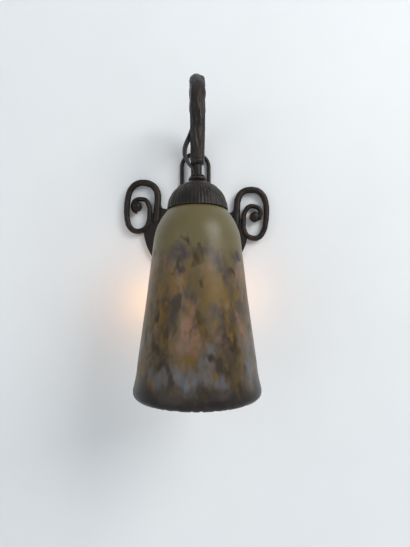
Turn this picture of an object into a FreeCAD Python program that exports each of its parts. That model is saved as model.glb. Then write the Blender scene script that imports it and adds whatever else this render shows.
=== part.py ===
"""Wrought iron wall sconce: a crook arm on a scrolled wall plate carries a fluted cap and a bell of glass.

Frame in millimetres: X to the right seen from the room, Y into the wall, Z up. The origin is on the wall,
on the end of the boss at the middle of the wall plate's back. The lamp hangs on the line X = 0, Y = -reach.
"""

import FreeCAD
import Part
import math
import os
import Sketcher
from FreeCAD import Placement, Rotation, Vector

X_AXIS = Vector(1, 0, 0)
Y_AXIS = Vector(0, 1, 0)
Z_AXIS = Vector(0, 0, 1)

# name, value, meaning: lengths in millimetres, angles in degrees
SIZES = [
    ("reach", 155.0, "wall to the line the lamp hangs on"),
    ("plate_radius", 79.0, "round lower edge of the wall plate"),
    ("plate_centre_z", 24.0, "height of the centre of that edge"),
    ("plate_top_z", 50.5, "flat top edge of the plate"),
    ("plate_depth", 8.0, "plate thickness at its rim"),
    ("plate_wall", 4.0, "cast wall over the hollow back"),
    ("plate_bevel", 1.8, "bevelled front edge of the plate"),
    ("plate_roll", 3.1, "the plate and scrolls hang this much clockwise"),
    ("hollow_half_width", 50.0, "hollow back, middle to side"),
    ("hollow_top_z", 36.0, "top of the hollow back"),
    ("hollow_rim", 8.0, "rim below the hollow back"),
    ("boss_radius", 8.0, "boss that stands on the wall"),
    ("web_rise", 5.0, "curve from the top edge into a scroll's leg"),
    ("scroll_bar", 11.5, "diameter of a scroll's bar at its leg"),
    ("scroll_tip", 6.6, "diameter of the bar at its inner end"),
    ("scroll_off_wall", 6.5, "middle of the bar to the wall"),
    ("scroll_sides", 8.0, "flats hammered along a scroll's bar"),
    ("leg_point", 12.0, "length of the point that ends the leg"),
    ("point_tip", 1.5, "radius of that point's end"),
    ("leg_x", 60.2, "middle of the scroll's leg"),
    ("leg_foot_z", 33.0, "bottom of the leg"),
    ("leg_straight", 5.0, "least straight length above that"),
    ("leg_head_z", 65.2, "where the leg turns into the crown"),
    ("crown_radius", 22.8, "crown of the scroll"),
    ("belly_z", 31.0, "centre of the lower turn"),
    ("belly_radius", 17.4, "lower turn of the scroll"),
    ("curl_z", 50.0, "centre of the inner curl"),
    ("curl_radius", 12.8, "inner curl"),
    ("hook_radius", 7.0, "last turn into the ball"),
    ("left_ball_radius", 7.7, "ball that ends the left scroll"),
    ("left_ball_in", 6.0, "that ball's centre, in from the curl's end"),
    ("left_ball_up", 0.3, "and up from it"),
    ("right_ball_radius", 8.0, "ball that ends the right scroll"),
    ("right_ball_in", 9.0, "that ball's centre, in from the curl's end"),
    ("right_ball_up", -4.0, "and up from it"),
    ("ball_sides", 14.0, "flats hammered round a ball"),
    ("ball_off_wall", 0.4, "from a ball to the wall"),
    ("loop_rod", 6.0, "rod of the hanging loop"),
    ("loop_sides", 12.0, "facets round that rod"),
    ("loop_half_width", 20.5, "middle of a leg of the loop"),
    ("loop_top_z", 139.0, "middle of the rod at the top of the loop"),
    ("loop_seat", 10.0, "length of leg in the plate"),
    ("arm_off_wall", 20.0, "middle of the arm's rear leg to the wall"),
    ("arm_spring_z", 130.0, "height where the crook starts to bend"),
    ("arm_width", 16.5, "arm across, at the front of the crook"),
    ("arm_depth", 14.0, "arm front to back, there"),
    ("arm_rear_width", 13.0, "arm across, at its rear leg"),
    ("nose_width", 13.3, "arm across, at its nose"),
    ("nose_z", 69.0, "lower end of the arm's nose"),
    ("nose_rounding", 5.0, "rounded end of the nose"),
    ("groove_depth", 0.9, "depth of the bark grooves along the arm"),
    ("groove_count", 7.0, "bark grooves round the arm"),
    ("foot_low_z", 2.0, "bottom of the arm's foot"),
    ("foot_high_z", 42.0, "top of the arm's foot"),
    ("foot_width", 26.0, "width of the arm's foot"),
    ("foot_thickness", 8.0, "thickness of the arm's foot"),
    ("screw_radius", 2.5, "screws that hold the foot"),
    ("screw_head_radius", 4.6, "their heads"),
    ("screw_head_height", 2.6, "height of a head"),
    ("screw_grip", 14.0, "length of a screw under its head"),
    ("screw_low_z", 14.0, "lower screw"),
    ("screw_high_z", 29.0, "upper screw"),
    ("cord_radius", 2.9, "twisted flex, overall"),
    ("cord_room", 0.35, "room round the flex where it enters"),
    ("cord_below_arm", 11.5, "middle of the arm to the middle of the flex, inside the crook"),
    ("grommet_x", -22.0, "where the flex leaves the plate"),
    ("grommet_z", 14.0, "and how high"),
    ("grommet_wall", 1.6, "wall of the grommet"),
    ("grommet_lip", 1.6, "lips of the grommet each side of the plate"),
    ("keeper_strip", 2.0, "thickness of the strip of a cord keeper"),
    ("keeper_width", 4.0, "width of that strip"),
    ("keeper_sides", 14.0, "bends of the strip round the flex"),
    ("keeper_spacing", 40.0, "angle from one keeper to the next"),
    ("lead_sides", 10.0, "flats of a lead's cover"),
    ("lead_reach", 4.0, "how far the leads reach above the cap"),
    ("rivet_rise", 1.2, "head of the contact's rivet above the porcelain"),
    ("tube_radius", 5.0, "threaded tube, outside"),
    ("tube_bore", 3.5, "threaded tube, inside"),
    ("tube_in_nose", 15.0, "length of tube in the nose"),
    ("thread_room", 0.05, "radial room of a screwed joint"),
    ("collar_radius", 10.6, "collar that clamps the cap"),
    ("collar_top_z", 56.8, "top of the collar"),
    ("cap_seat_z", 49.7, "top of the cap, under the collar"),
    ("cap_seat_radius", 10.2, "flat seat on the cap"),
    ("cap_bulge", 32.0, "radius of the cap's round side"),
    ("cap_bulge_in", 2.0, "its centre, out from the middle"),
    ("cap_rim_z", 17.4, "lower edge of the cap"),
    ("cap_wall", 1.6, "wall of the cap"),
    ("cap_facets", 36.0, "flats of its spun inside"),
    ("flute_count", 54.0, "flutes round the cap"),
    ("flute_depth", 0.9, "depth of a flute at the rim"),
    ("flute_end", 48.0, "angle up the cap's side where the flutes end"),
    ("dome_end", 75.0, "angle up the cap's side where the seat starts"),
    ("neck_z", 22.5, "ground top of the glass"),
    ("neck_radius", 20.9, "hole in the top of the glass"),
    ("neck_outer", 26.5, "outer edge of the ground top"),
    ("neck_edge", 1.2, "height of the glass round that hole"),
    ("glass_facets", 48.0, "flats round the glass"),
    ("glass_wall", 3.5, "wall of the glass"),
    ("shoulder_arc", 62.0, "radius of the round shoulder"),
    ("shoulder_z", -17.0, "where the shoulder meets the side"),
    ("shoulder_radius", 48.4, "glass radius there"),
    ("flare_z", -150.0, "where the side starts to flare"),
    ("flare_radius", 64.8, "glass radius there"),
    ("rim_radius", 69.6, "glass radius at its rim"),
    ("rim_z", -178.0, "where the flare ends"),
    ("lip_z", -187.0, "lowest edge of the glass"),
    ("lip_land", 1.2, "flat of that edge"),
    ("felt", 1.5, "felt washer on the glass"),
    ("skirt_radius", 19.7, "lampholder skirt, outside"),
    ("skirt_wall", 1.1, "wall of the skirt"),
    ("skirt_z", -13.0, "lower end of the skirt"),
    ("thread_ridge", 0.5, "height of the skirt's thread"),
    ("flange_radius", 25.6, "flange over the felt"),
    ("flange_thickness", 1.4, "thickness of that flange"),
    ("holder_neck", 7.6, "neck of the lampholder's cap"),
    ("holder_dome", 34.0, "height where the neck meets the dome"),
    ("core_room", 0.3, "room between the porcelain and the skirt"),
    ("core_roof", 6.0, "roof of the porcelain"),
    ("shell_radius", 14.0, "screw shell, outside"),
    ("shell_wall", 0.5, "wall of the screw shell"),
    ("ring_outer", 26.0, "shade ring, outside"),
    ("ring_height", 7.0, "height of the shade ring"),
    ("base_radius", 13.1, "bulb's screw base, over its thread"),
    ("base_length", 23.0, "length of that base"),
    ("base_wall", 1.4, "depth of its thread and wall"),
    ("base_hole", 6.0, "hole in its top for the insulator"),
    ("contact_gap", 0.3, "bulb's tip to the contact at rest"),
    ("bulb_radius", 29.0, "widest part of the bulb"),
    ("bulb_wall", 0.9, "wall of the bulb's glass"),
    ("bulb_facets", 32.0, "flats round the bulb"),
    ("bulb_length", 80.0, "glass of the bulb below its base"),
    ("stem_radius", 4.0, "glass stem in the bulb"),
    ("stem_length", 34.0, "height of the stem"),
    ("filament_turn", 9.0, "radius that the filament is hung on"),
    ("filament_wire", 0.5, "radius of the filament's coil"),
    ("seat_gap", 0.02, "gap between faces that bear on each other"),
]

# Way of the flex's middle before and after the crook: across, off the wall, up.
CORD_START = [(-22.0, -1.0, 14.0), (-22.0, -24.0, 14.5), (-17.0, -34.0, 37.0),
              (-6.0, -33.0, 66.0), (-1.0, -31.0, 104.0)]
CORD_END = [(-9.0, -146.0, 137.0), (-12.6, -148.5, 109.0), (-17.0, -151.0, 86.0),
            (-8.7, -154.0, 67.5), (-0.6, -155.0, 60.3)]
CORD_TURNS = 4
CORD_SIDES = 10
ARM_STATIONS = 26
SCROLL_STATIONS = 40
GLOBE_HIGH = 50.0
GLOBE_LOW = 80.0
FLAT = 1e-4
FLUTE_LEVELS = 4


class Size:
    """A size with its value now and the words that bind a property to the sheet."""

    def __init__(self, value, words):
        self.value = float(value)
        self.words = words

    def __add__(self, other):
        other = size_of(other)
        return Size(self.value + other.value, f"({self.words} + {other.words})")

    def __radd__(self, other):
        return size_of(other) + self

    def __sub__(self, other):
        other = size_of(other)
        return Size(self.value - other.value, f"({self.words} - {other.words})")

    def __rsub__(self, other):
        return size_of(other) - self

    def __mul__(self, other):
        other = size_of(other)
        return Size(self.value * other.value, f"({self.words} * {other.words})")

    def __rmul__(self, other):
        return size_of(other) * self

    def __truediv__(self, other):
        other = size_of(other)
        return Size(self.value / other.value, f"({self.words} / {other.words})")

    def __neg__(self):
        return Size(-self.value, f"(0 - {self.words})")


def size_of(thing):
    """Returns a Size, made from a plain number where it has to be."""
    return thing if isinstance(thing, Size) else Size(thing, f"({float(thing)!r})")


def root(size):
    return Size(math.sqrt(size.value), f"sqrt({size.words})")


def sine(size):
    size = size_of(size)
    return Size(math.sin(math.radians(size.value)), f"sin({size.words})")


def cosine(size):
    size = size_of(size)
    return Size(math.cos(math.radians(size.value)), f"cos({size.words})")


NOTHING = Size(0.0, "0")

doc = FreeCAD.newDocument("sconce")


def fill_sheet():
    """Writes the driving sizes to the sheet and returns them by name."""
    sheet = doc.addObject("Spreadsheet::Sheet", "Sizes")
    found = {}
    for row, (name, value, meaning) in enumerate(SIZES, start=1):
        sheet.set(f"A{row}", name)
        sheet.set(f"B{row}", str(value))
        sheet.set(f"C{row}", meaning)
        sheet.setAlias(f"B{row}", name)
        found[name] = Size(value, f"Sizes.{name}")
    return found


S = fill_sheet()
doc.recompute()


# ---- helpers --------------------------------------------------------------------------------------


def bind(item, **sizes):
    """Binds properties to sheet expressions; a double underscore stands for a dot."""
    for path, size in sizes.items():
        item.setExpression(path.replace("__", "."), size_of(size).words)


def put(item, x=0.0, y=0.0, z=0.0, axis=None, angle=0.0):
    """Places an object, turned about one axis, with its place bound to the sheet."""
    x, y, z, angle = size_of(x), size_of(y), size_of(z), size_of(angle)
    turn = Rotation(axis, angle.value) if axis else Rotation()
    item.Placement = Placement(Vector(x.value, y.value, z.value), turn)
    bind(item, Placement__Base__x=x, Placement__Base__y=y, Placement__Base__z=z)
    if "Sizes" in angle.words:
        bind(item, Placement__Rotation__Angle=angle)
    return item


def hang(item):
    """Puts a turned piece on the line that the lamp hangs on."""
    return put(item, y=-S["reach"])


def roll(item):
    """Turns an object with the wall plate."""
    item.Placement = Placement(Vector(), Rotation(Y_AXIS, S["plate_roll"].value))
    bind(item, Placement__Rotation__Angle=S["plate_roll"])
    return item


def cylinder(name, radius, height, x=0.0, y=0.0, z=0.0, axis=None, angle=0.0):
    item = doc.addObject("Part::Cylinder", name)
    bind(item, Radius=radius, Height=height)
    return put(item, x, y, z, axis, angle)


def box(name, length, width, height, x, y, z):
    item = doc.addObject("Part::Box", name)
    bind(item, Length=length, Width=width, Height=height)
    return put(item, x, y, z)


def polygon(name, radius, sides):
    item = doc.addObject("Part::RegularPolygon", name)
    bind(item, Circumradius=radius, Polygon=sides)
    return item


def prism(name, radius, sides, height, x=0.0, y=0.0, z=0.0, axis=None, angle=0.0):
    item = doc.addObject("Part::Prism", name)
    bind(item, Circumradius=radius, Polygon=sides, Height=height)
    return put(item, x, y, z, axis, angle)


def ring_loft(name, rings, sides, x=0.0, y=0.0, z=0.0):
    """A solid lofted straight through level round sections, each a radius and a height."""
    item = doc.addObject("Part::Loft", name)
    item.Sections = [put(polygon(f"{name}_{number}", radius, sides), x, y, z + height)
                     for number, (radius, height) in enumerate(rings)]
    item.Solid = True
    item.Ruled = True
    return item


def fuse(name, shapes):
    item = doc.addObject("Part::MultiFuse", name)
    item.Shapes = shapes
    return item


def cut(name, base, tool):
    item = doc.addObject("Part::Cut", name)
    item.Base = base
    item.Tool = tool
    return item


def group(name, shapes):
    item = doc.addObject("Part::Compound", name)
    item.Links = shapes
    return item


class Line:
    """A straight step of an outline, to a point."""

    def __init__(self, x, y):
        self.end = (size_of(x), size_of(y))


class Turn(Line):
    """A round step about a known centre, anticlockwise unless it says clockwise."""

    def __init__(self, x, y, centre, clockwise=False):
        super().__init__(x, y)
        self.centre = (size_of(centre[0]), size_of(centre[1]))
        self.clockwise = clockwise


def pin(sketch, geometry, vertex, point):
    """Fixes a sketch point at its two sizes, or on an axis where a size is nothing."""
    for coordinate, kind, axis in ((point[0], "DistanceX", -2), (point[1], "DistanceY", -1)):
        if coordinate.words == NOTHING.words:
            sketch.addConstraint(Sketcher.Constraint("PointOnObject", geometry, vertex, axis))
        else:
            rule = Sketcher.Constraint(kind, -1, 1, geometry, vertex, coordinate.value)
            index = sketch.addConstraint(rule)
            sketch.setExpression(f"Constraints[{index}]", coordinate.words)


def draw(sketch, start, steps, closed=True):
    """Draws an outline of lines and arcs, with each corner bound to the sheet."""
    here = (size_of(start[0]), size_of(start[1]))
    first = here
    tails = []
    heads = []
    for step in steps:
        there = step.end
        a = Vector(here[0].value, here[1].value, 0)
        b = Vector(there[0].value, there[1].value, 0)
        if isinstance(step, Turn):
            c = Vector(step.centre[0].value, step.centre[1].value, 0)
            from_point, to_point = (b, a) if step.clockwise else (a, b)
            begin = math.atan2(from_point.y - c.y, from_point.x - c.x)
            finish = math.atan2(to_point.y - c.y, to_point.x - c.x)
            if finish < begin:
                finish += 2 * math.pi
            circle = Part.Circle(c, Z_AXIS, from_point.distanceToPoint(c))
            index = sketch.addGeometry(Part.ArcOfCircle(circle, begin, finish))
            tails.append((index, 2 if step.clockwise else 1))
            heads.append((index, 1 if step.clockwise else 2))
            level = abs(b.x - a.x) > abs(b.y - a.y)
            kind = "DistanceY" if level else "DistanceX"
            centre = step.centre[1] if level else step.centre[0]
            rule = Sketcher.Constraint(kind, -1, 1, index, 3, centre.value)
            sketch.setExpression(f"Constraints[{sketch.addConstraint(rule)}]", centre.words)
        else:
            index = sketch.addGeometry(Part.LineSegment(a, b))
            tails.append((index, 1))
            heads.append((index, 2))
        here = there
    if closed:
        pin(sketch, *heads[-1], first)
    else:
        pin(sketch, *tails[0], first)
        pin(sketch, *heads[-1], here)
    for number, (head, tail) in enumerate(zip(heads, tails[1:])):
        sketch.addConstraint(Sketcher.Constraint("Coincident", *head, *tail))
        pin(sketch, *head, steps[number].end)
    if closed:
        sketch.addConstraint(Sketcher.Constraint("Coincident", *heads[-1], *tails[0]))
    return sketch


def new_body(name):
    return doc.addObject("PartDesign::Body", name)


def origin_item(body, role):
    return [item for item in body.Origin.OriginFeatures if item.Role == role][0]


def new_sketch(body, name, role):
    sketch = body.newObject("Sketcher::SketchObject", name)
    sketch.AttachmentSupport = [(origin_item(body, role), "")]
    sketch.MapMode = "FlatFace"
    return sketch


def turned(name, start, steps):
    """A body turned about its own upright axis from half an outline: radius across, height up."""
    body = new_body(name)
    sketch = draw(new_sketch(body, name + "_outline", "XZ_Plane"), start, steps)
    feature = body.newObject("PartDesign::Revolution", name + "_turning")
    feature.Profile = sketch
    feature.ReferenceAxis = (sketch, ["V_Axis"])
    feature.Angle = 360.0
    return body


def tube_piece(name, inner, outer, low, high):
    """A plain turned ring or sleeve."""
    return turned(name, (inner, low), [Line(outer, low), Line(outer, high), Line(inner, high),
                                       Line(inner, low)])


def arc_rings(centre, radius, start, end, count):
    """Points along an arc between two angles, both ends included: distance from the axis and height."""
    angles = [start + (end - start) * (number / count) for number in range(count + 1)]
    return [(centre[0] + radius * cosine(angle), centre[1] + radius * sine(angle)) for angle in angles]


def rounded(centre, radius, start, end, count):
    """Short straight steps along an arc between two angles, leaving out its first point."""
    return [Line(*point) for point in arc_rings(centre, radius, start, end, count)[1:]]


def side_rings(centre, radius, start_z, end_z, count):
    """Points along an arc between two heights, both ends included."""
    heights = [start_z + (end_z - start_z) * (number / count) for number in range(count + 1)]
    return [(on_arc(centre, radius, height), height) for height in heights]


def arc_centre(start, end, radius):
    """Centre of the arc from start down to end that bulges away from the axis."""
    across = end[0] - start[0]
    up = end[1] - start[1]
    half = root(across * across + up * up) / 2.0
    back = root(radius * radius - half * half)
    return ((start[0] + end[0]) / 2.0 + back * up / (2.0 * half),
            (start[1] + end[1]) / 2.0 - back * across / (2.0 * half))


def on_arc(centre, radius, height):
    """Distance from the axis of a point of an arc at a height."""
    rise = height - centre[1]
    return centre[0] + root(radius * radius - rise * rise)


def up_arc(centre, radius, distance):
    """Height of a point of an arc at a distance from the axis."""
    run = distance - centre[0]
    return centre[1] + root(radius * radius - run * run)


PIECES = {}


def keep(name, item):
    """Names a finished piece."""
    item.Label = name
    PIECES[name] = item
    return item


# ---- scrolls --------------------------------------------------------------------------------------


def scroll_corners(side):
    """Corners that the middle line of a scroll's bar is drawn smoothly between, and its inner end."""
    leg_x, crown = S["leg_x"].value, S["crown_radius"].value
    outer_x = leg_x + 2 * crown
    inner_x = outer_x - 2 * S["belly_radius"].value
    end_x = inner_x + 2 * S["curl_radius"].value
    crown_top = S["leg_head_z"].value + crown
    belly_low = S["belly_z"].value - S["belly_radius"].value
    curl_top = S["curl_z"].value + S["curl_radius"].value
    hook_z = S["curl_z"].value - S["hook_radius"].value
    foot_z = S["leg_foot_z"].value
    outline = [(leg_x, foot_z), (leg_x, foot_z + S["leg_straight"].value), (leg_x, crown_top),
               (outer_x, crown_top), (outer_x, belly_low), (inner_x, belly_low), (inner_x, curl_top),
               (end_x, curl_top), (end_x, hook_z), (end_x - S["hook_radius"].value, hook_z)]
    return [Vector(side * x, -S["scroll_off_wall"].value, z) for x, z in outline]


def drawn_bar(name, corners, thick, thin, sides):
    """A forged bar with flat sides, drawn down along a smooth line near its corners."""
    line = Part.BSplineCurve()
    spans = len(corners) - 2
    line.buildFromPolesMultsKnots(corners, [3] + [1] * (spans - 1) + [3], list(range(spans + 1)), False, 2)
    places = line.discretize(Number=SCROLL_STATIONS)
    sections = []
    for number, middle in enumerate(places):
        along = Vector(*line.tangent(line.parameter(middle))[0])
        outward = along.cross(Y_AXIS)
        half = thick + (thin - thick) * number / (SCROLL_STATIONS - 1)
        turns = [2 * math.pi * (side + 0.5) / sides for side in range(sides + 1)]
        sections.append(Part.makePolygon([middle + Y_AXIS * (half * math.cos(turn))
                                          + outward * (half * math.sin(turn)) for turn in turns]))
    item = doc.addObject("Part::Feature", name)
    item.Shape = Part.makeLoft(sections, True, True)
    item.Placement = Placement()
    return item


def scroll(name, side, ball_radius, ball_in, ball_up):
    """One scroll: a bar drawn down to a tip and wound up inside itself, ending in a ball."""
    bar = drawn_bar(name + "_bar", scroll_corners(side), S["scroll_bar"].value / 2,
                    S["scroll_tip"].value / 2, int(S["scroll_sides"].value))
    foot = ring_loft(name + "_point", [
        (S["scroll_bar"] / 2.0, NOTHING),
        (S["point_tip"], -S["leg_point"]),
    ], S["scroll_sides"], side * S["leg_x"], -S["scroll_off_wall"], S["leg_foot_z"])
    end_x = S["leg_x"] + 2.0 * (S["crown_radius"] - S["belly_radius"] + S["curl_radius"])
    ball = ring_loft(name + "_ball", arc_rings((NOTHING, NOTHING), ball_radius, -78.0, 78.0, 5),
                     S["ball_sides"], side * (end_x - ball_in), -ball_radius - S["ball_off_wall"],
                     S["curl_z"] + ball_up)
    return keep(name, roll(fuse(name, [bar, foot, ball])))


scroll_right = scroll("scroll_right", 1, S["right_ball_radius"], S["right_ball_in"], S["right_ball_up"])
scroll_left = scroll("scroll_left", -1, S["left_ball_radius"], S["left_ball_in"], S["left_ball_up"])


# ---- hanging loop ---------------------------------------------------------------------------------


def hanging_loop():
    """An arch of rod, riveted into the top of the plate, that hangs the sconce on its hook."""
    rod = S["loop_rod"] / 2.0
    middle = -S["plate_depth"] / 2.0
    low = S["plate_top_z"] - S["loop_seat"]
    spring = S["loop_top_z"] - S["loop_half_width"]
    half = S["loop_half_width"]
    way = doc.addObject("Sketcher::SketchObject", "loop_way")
    way.Placement = Placement(Vector(), Rotation(X_AXIS, 90))
    bind(way, Placement__Base__y=middle)
    draw(way, (-half, low), [
        Line(-half, spring),
        Turn(half, spring, (NOTHING, spring), True),
        Line(half, low),
    ], closed=False)
    section = put(polygon("loop_section", rod, S["loop_sides"]), -half, middle, low)
    item = doc.addObject("Part::Sweep", "hanging_loop")
    item.Sections = [section]
    item.Spine = (way, ["Edge1", "Edge2", "Edge3"])
    item.Solid = True
    return keep("hanging_loop", item)


loop = hanging_loop()


# ---- flex -----------------------------------------------------------------------------------------


def crook_centre():
    """Y and Z of the centre of the crook, and the radius of its middle line."""
    radius = (S["reach"] - S["arm_off_wall"]) / 2.0
    return -S["arm_off_wall"] - radius, S["arm_spring_z"], radius


def cord_route():
    """The corners of the flex's way, from the plate round the crook to the threaded tube."""
    centre_y, centre_z, radius = crook_centre()
    turn = math.radians(S["keeper_spacing"].value)
    reach = (radius - S["cord_below_arm"]).value / math.cos(turn / 2)
    bend = [(0.0,
             centre_y.value + reach * math.cos(turn * (number + 0.5)),
             centre_z.value + reach * math.sin(turn * (number + 0.5)))
            for number in range(CORD_TURNS)]
    return [Vector(*corner) for corner in CORD_START + bend + CORD_END]


def rounded_wire(corners):
    """Straight runs joined by tangent arcs, each as large as its two runs allow; prints the radii."""
    edges = []
    radii = []
    here = corners[0]
    for before, corner, after in zip(corners, corners[1:], corners[2:]):
        back = before - corner
        ahead = after - corner
        half_turn = (math.pi - back.getAngle(ahead)) / 2
        tangent = 0.45 * min(back.Length, ahead.Length)
        radius = tangent / math.tan(half_turn)
        radii.append(round(radius, 1))
        start = corner + back.normalize() * tangent
        end = corner + ahead.normalize() * tangent
        inward = (back + ahead).normalize()
        middle = corner + inward * (radius / math.cos(half_turn) - radius)
        edges.append(Part.LineSegment(here, start).toShape())
        edges.append(Part.Arc(start, middle, end).toShape())
        here = end
    edges.append(Part.LineSegment(here, corners[-1]).toShape())
    print("cord radii", radii)
    return Part.Wire(edges)


def cord_tube(name, radius):
    """A tube along the flex's way."""
    wire = rounded_wire(cord_route())
    start, heading = wire.Edges[0].valueAt(0), wire.Edges[0].tangentAt(0)
    across = heading.cross(X_AXIS).normalize()
    corners = []
    for number in range(CORD_SIDES + 1):
        angle = 2 * math.pi * number / CORD_SIDES
        corners.append(start + X_AXIS * (radius * math.cos(angle)) + across * (radius * math.sin(angle)))
    section = Part.makePolygon(corners)
    item = doc.addObject("Part::Feature", name)
    item.Shape = wire.makePipeShell([section], True, False)
    item.Placement = Placement()
    share = item.Shape.Volume / (Part.Face(section).Area * wire.Length)
    print(f"{name}: {wire.Length:.1f} mm long, volume {share:.4f} of section times length")
    return item


cord = keep("supply_cord", cord_tube("supply_cord", S["cord_radius"].value))
cord_way = cord_tube("cord_way", S["cord_radius"].value + S["cord_room"].value)


# ---- arm ------------------------------------------------------------------------------------------


def arm_length():
    """Length of the arm's middle line, from its foot to its nose."""
    _, centre_z, radius = (size.value for size in crook_centre())
    foot = S["foot_low_z"].value + S["foot_thickness"].value / 2
    return centre_z - foot + math.pi * radius + centre_z - S["nose_z"].value


def arm_station(share):
    """Middle, way along, and way outwards of the arm at a share of its length from the foot."""
    centre_y, centre_z, radius = (size.value for size in crook_centre())
    length = arm_length()
    drop = centre_z - S["nose_z"].value
    rise = length - math.pi * radius - drop
    run = share * length
    if run < rise:
        return Vector(0, centre_y + radius, centre_z - rise + run), Z_AXIS, Y_AXIS
    if run > length - drop:
        return Vector(0, centre_y - radius, centre_z - (run - length + drop)), -Z_AXIS, -Y_AXIS
    angle = (run - rise) / radius
    outward = Vector(0, math.cos(angle), math.sin(angle))
    along = Vector(0, -math.sin(angle), math.cos(angle))
    return Vector(0, centre_y, centre_z) + outward * radius, along, outward


def bark_section(middle, outward, half_width, half_depth, groove):
    """A closed section with flat-sided ridges and grooves between them."""
    count = int(S["groove_count"].value)
    corners = []
    for number in range(2 * count + 1):
        angle = math.pi * number / count
        inset = groove * (number % 2)
        corners.append(middle + X_AXIS * ((half_width - inset) * math.cos(angle))
                       + outward * ((half_depth - inset) * math.sin(angle)))
    return Part.makePolygon(corners)


def arm_bar():
    """The bar of the arm: a loft through ridged sections that swell to the front and taper to the nose."""
    rear, front, nose = (S[name].value / 2 for name in ("arm_rear_width", "arm_width", "nose_width"))
    depth_share = S["arm_depth"].value / S["arm_width"].value
    groove = S["groove_depth"].value
    nose_share = S["nose_rounding"].value / arm_length()
    sections = []
    for number in range(ARM_STATIONS + 1):
        share = (1.0 - nose_share) * number / ARM_STATIONS
        swell = min(1.0, max(0.0, (share - 0.3) / 0.25))
        taper = min(1.0, max(0.0, (share - 0.7) / 0.25))
        half = rear + (front - rear) * swell + (nose - front) * taper
        middle, _, outward = arm_station(share)
        sections.append(bark_section(middle, outward, half, half * depth_share, groove))
    end, _, outward = arm_station(1.0)
    tip = (S["tube_radius"].value + nose) / 2
    sections.append(bark_section(end, outward, tip, tip, groove / 2))
    item = doc.addObject("Part::Feature", "arm_bar")
    item.Shape = Part.makeLoft(sections, True, True)
    item.Placement = Placement()
    return item


def crook_arm():
    """The bar with its foot, drilled for the tube and for the screws of the foot."""
    face = -S["plate_depth"] - S["seat_gap"]
    foot = box("arm_foot_block", S["foot_width"], S["foot_thickness"], S["foot_high_z"] - S["foot_low_z"],
               -S["foot_width"] / 2.0, face - S["foot_thickness"], S["foot_low_z"])
    foot_round = doc.addObject("Part::Fillet", "arm_foot")
    foot_round.Base = foot
    doc.recompute()
    upright = [number for number, edge in enumerate(foot.Shape.Edges, start=1)
               if abs(edge.tangentAt(edge.FirstParameter).y) > 0.9]
    rounding = min(S["foot_width"].value, S["foot_high_z"].value - S["foot_low_z"].value) * 0.4
    foot_round.Edges = [(number, rounding, rounding) for number in upright]
    whole = fuse("arm_whole", [arm_bar(), foot_round])
    socket = cylinder("nose_socket", S["tube_radius"] + S["thread_room"], S["tube_in_nose"] + 5.0,
                      0.0, -S["reach"], S["nose_z"] - 5.0)
    tools = [socket]
    for number, height in enumerate((S["screw_low_z"], S["screw_high_z"])):
        tools.append(cylinder(f"screw_way_{number}", S["screw_radius"] + S["thread_room"],
                              S["screw_grip"] + 1.0, 0.0, -S["plate_depth"] + S["plate_wall"], height,
                              X_AXIS, 90.0))
    return keep("crook_arm", cut("crook_arm", whole, fuse("arm_tools", tools)))


arm = crook_arm()


def arm_screws():
    """Two slotted screws, driven from the hollow back of the plate into the arm's foot."""
    bearing = -S["plate_depth"] + S["plate_wall"] + S["seat_gap"]
    screws = []
    for number, height in enumerate((S["screw_low_z"], S["screw_high_z"])):
        shank = cylinder(f"screw_shank_{number}", S["screw_radius"], S["screw_grip"], 0.0, bearing, height,
                         X_AXIS, 90.0)
        head = cylinder(f"screw_head_{number}", S["screw_head_radius"], S["screw_head_height"],
                        0.0, bearing + S["screw_head_height"], height, X_AXIS, 90.0)
        slot = box(f"screw_slot_{number}", 2.0 * S["screw_head_radius"] + 2.0,
                   S["screw_head_height"] / 2.0 + 1.0, S["screw_radius"] / 2.0, -S["screw_head_radius"] - 1.0,
                   bearing + S["screw_head_height"] / 2.0, height - S["screw_radius"] / 4.0)
        screws.append(cut(f"screw_{number}", fuse(f"screw_blank_{number}", [shank, head]), slot))
    return keep("arm_screws", group("arm_screws", screws))


arm_screws()


def cord_keepers():
    """Eyes of iron strip brazed inside the crook, that the flex is threaded through."""
    centre_y, centre_z, radius = crook_centre()
    lane = radius - S["cord_below_arm"]
    bore = S["cord_radius"] + S["cord_room"]
    outer = bore + S["keeper_strip"]
    eyes = []
    for number in range(1, CORD_TURNS):
        angle = S["keeper_spacing"] * float(number)
        back = S["keeper_width"] / 2.0
        place = (0.0, centre_y + lane * cosine(angle) + back * sine(angle),
                 centre_z + lane * sine(angle) - back * cosine(angle), X_AXIS, angle)
        sides = S["keeper_sides"]
        eye = cut(f"eye_{number}", prism(f"eye_blank_{number}", outer, sides, S["keeper_width"], *place),
                  prism(f"eye_bore_{number}", bore, sides, S["keeper_width"], *place))
        eyes.append(cut(f"keeper_{number}", eye, arm))
    return keep("cord_keepers", group("cord_keepers", eyes))


cord_keepers()


# ---- wall plate -----------------------------------------------------------------------------------


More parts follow.
